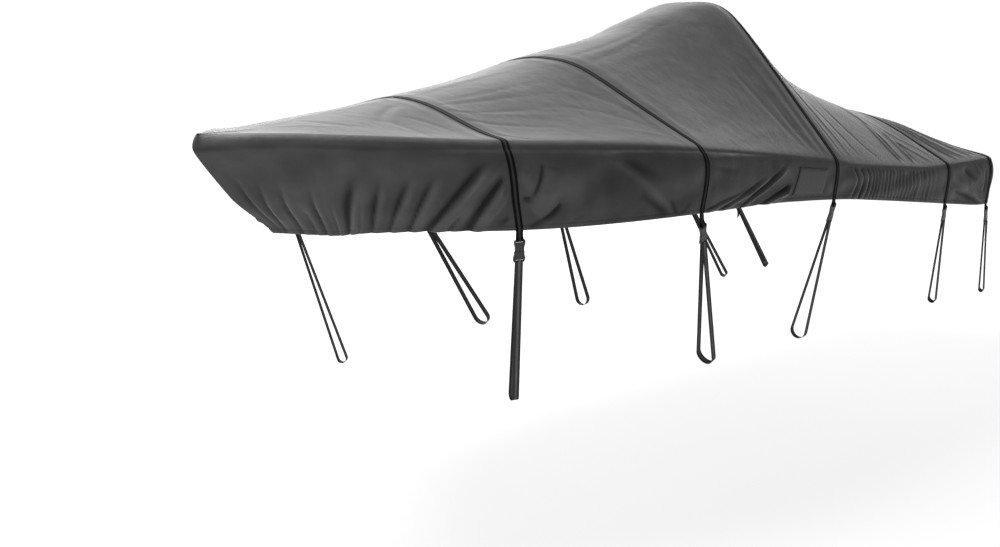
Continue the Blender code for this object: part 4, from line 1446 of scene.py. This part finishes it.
def stitch_rows(paths, length, pitch):
    """Points of every stitch along paths, each path given as its points and its normals."""
    width, height = THREAD
    square = np.array([(-1, -1), (1, -1), (1, 1), (-1, 1)])
    every = []
    for path, normal in paths:
        run = run_along(path)
        at = np.arange(pitch / 2, run[-1] - pitch / 2, pitch)
        spot, up = spots_at(at, run, path), unit(spots_at(at, run, normal))
        ahead = unit(spots_at(at + pitch / 4, run, path) - spot)
        aside = np.cross(up, ahead)
        on = BAR_RINGS[:, 0][None, :, None, None] * length
        rise = BAR_RINGS[:, 1][None, :, None, None] * height
        across, above = square.T[:, None, None, :, None]
        every.append(
            spot[:, None, None] + ahead[:, None, None] * on
            + aside[:, None, None] * across * width / 2
            + up[:, None, None] * (rise + above * height / 2)
        )
    return np.concatenate(every)


def made_stitches(name, paths, length, pitch, look, slot):
    """One joined piece of many stitches, each closed by its two end faces."""
    rows = stitch_rows(paths, length, pitch)
    count, rings, corners = rows.shape[:3]
    one = grid_faces(rings, corners, closed_columns=True)
    last = (rings - 1) * corners
    ends = np.array([[3, 2, 1, 0], [last, last + 1, last + 2, last + 3]])
    one = np.concatenate([one[:, ::-1], ends])
    faces = (one[None] + np.arange(count)[:, None, None] * rings * corners).reshape(-1, 4)
    piece = made_mesh(name, rows, faces, solid=True)
    dress(piece, look, slot)
    print(name, count, "stitches,", len(faces) * 2, "triangles")


# %% Stitches of the hem and of the patch
thread, tree, shader = new_look("thread", (0.05, 0.05, 0.05), 0.5)
twist = noise(tree, add_node(tree, "TexCoord").outputs["Object"], 900.0, 2.0)
tree.links.new(bump(tree, twist, 0.0001, 0.6), shader.inputs["Normal"])
seam_rows = (SEAM_ROW, -1 - SEAM_ROW)
hem_paths = [(visible[:, k] + normals[:, k] * 0.0004, normals[:, k]) for k in seam_rows]
made_stitches("stitches_hem", hem_paths, 0.0042, 0.0062, thread, "cloth")
inset_along, inset_up = PATCH_SEAM / size[0], PATCH_SEAM / size[1]
sides = np.linspace(0, 1, 60)
border = [
    (inset_along + (1 - 2 * inset_along) * sides, np.full(60, inset_up)),
    (inset_along + (1 - 2 * inset_along) * sides, np.full(60, 1 - inset_up)),
    (np.full(60, inset_along), inset_up + (1 - 2 * inset_up) * sides),
    (np.full(60, 1 - inset_along), inset_up + (1 - 2 * inset_up) * sides),
]
above_patch = GAP + PATCH + 0.2 * PATCH_PILLOW + 0.0002
patch_paths = [patch_surface(a, b, above_patch) for a, b in border]
made_stitches("stitches_patch", patch_paths, 0.0040, 0.0058, thread, "cloth")


# %% Stitches of the tabs
BOX_HIGH = 0.004
BOX_LOW = 0.011
BOX_HALF = 0.015


def tab_paths(end):
    """The box and the cross sewn through a tab, on its outer face."""
    high, low, half = end.top - TAB + BOX_HIGH, end.top - BOX_LOW, BOX_HALF
    corners = [(-half, high), (half, high), (half, low), (-half, low)]
    runs = [(corners[k], corners[(k + 1) % 4]) for k in range(4)]
    runs += [(corners[0], corners[2]), (corners[1], corners[3])]
    for first, last in runs:
        share = np.linspace(0, 1, 8)[:, None]
        across, down = (np.array(first) * (1 - share) + np.array(last) * share).T
        out = np.full(8, BESIDE + 0.0002)
        path = end.path(np.stack([out, down], axis=-1)) + end.across * across[:, None]
        yield path, np.tile(end.out, (8, 1))


all_ends = [end for ends in strap_ends.values() for end in ends.values()]
all_tabs = [path for end in all_ends for path in tab_paths(end)]
made_stitches("stitches_tabs", all_tabs, 0.0026, 0.0038, thread, "webbing")
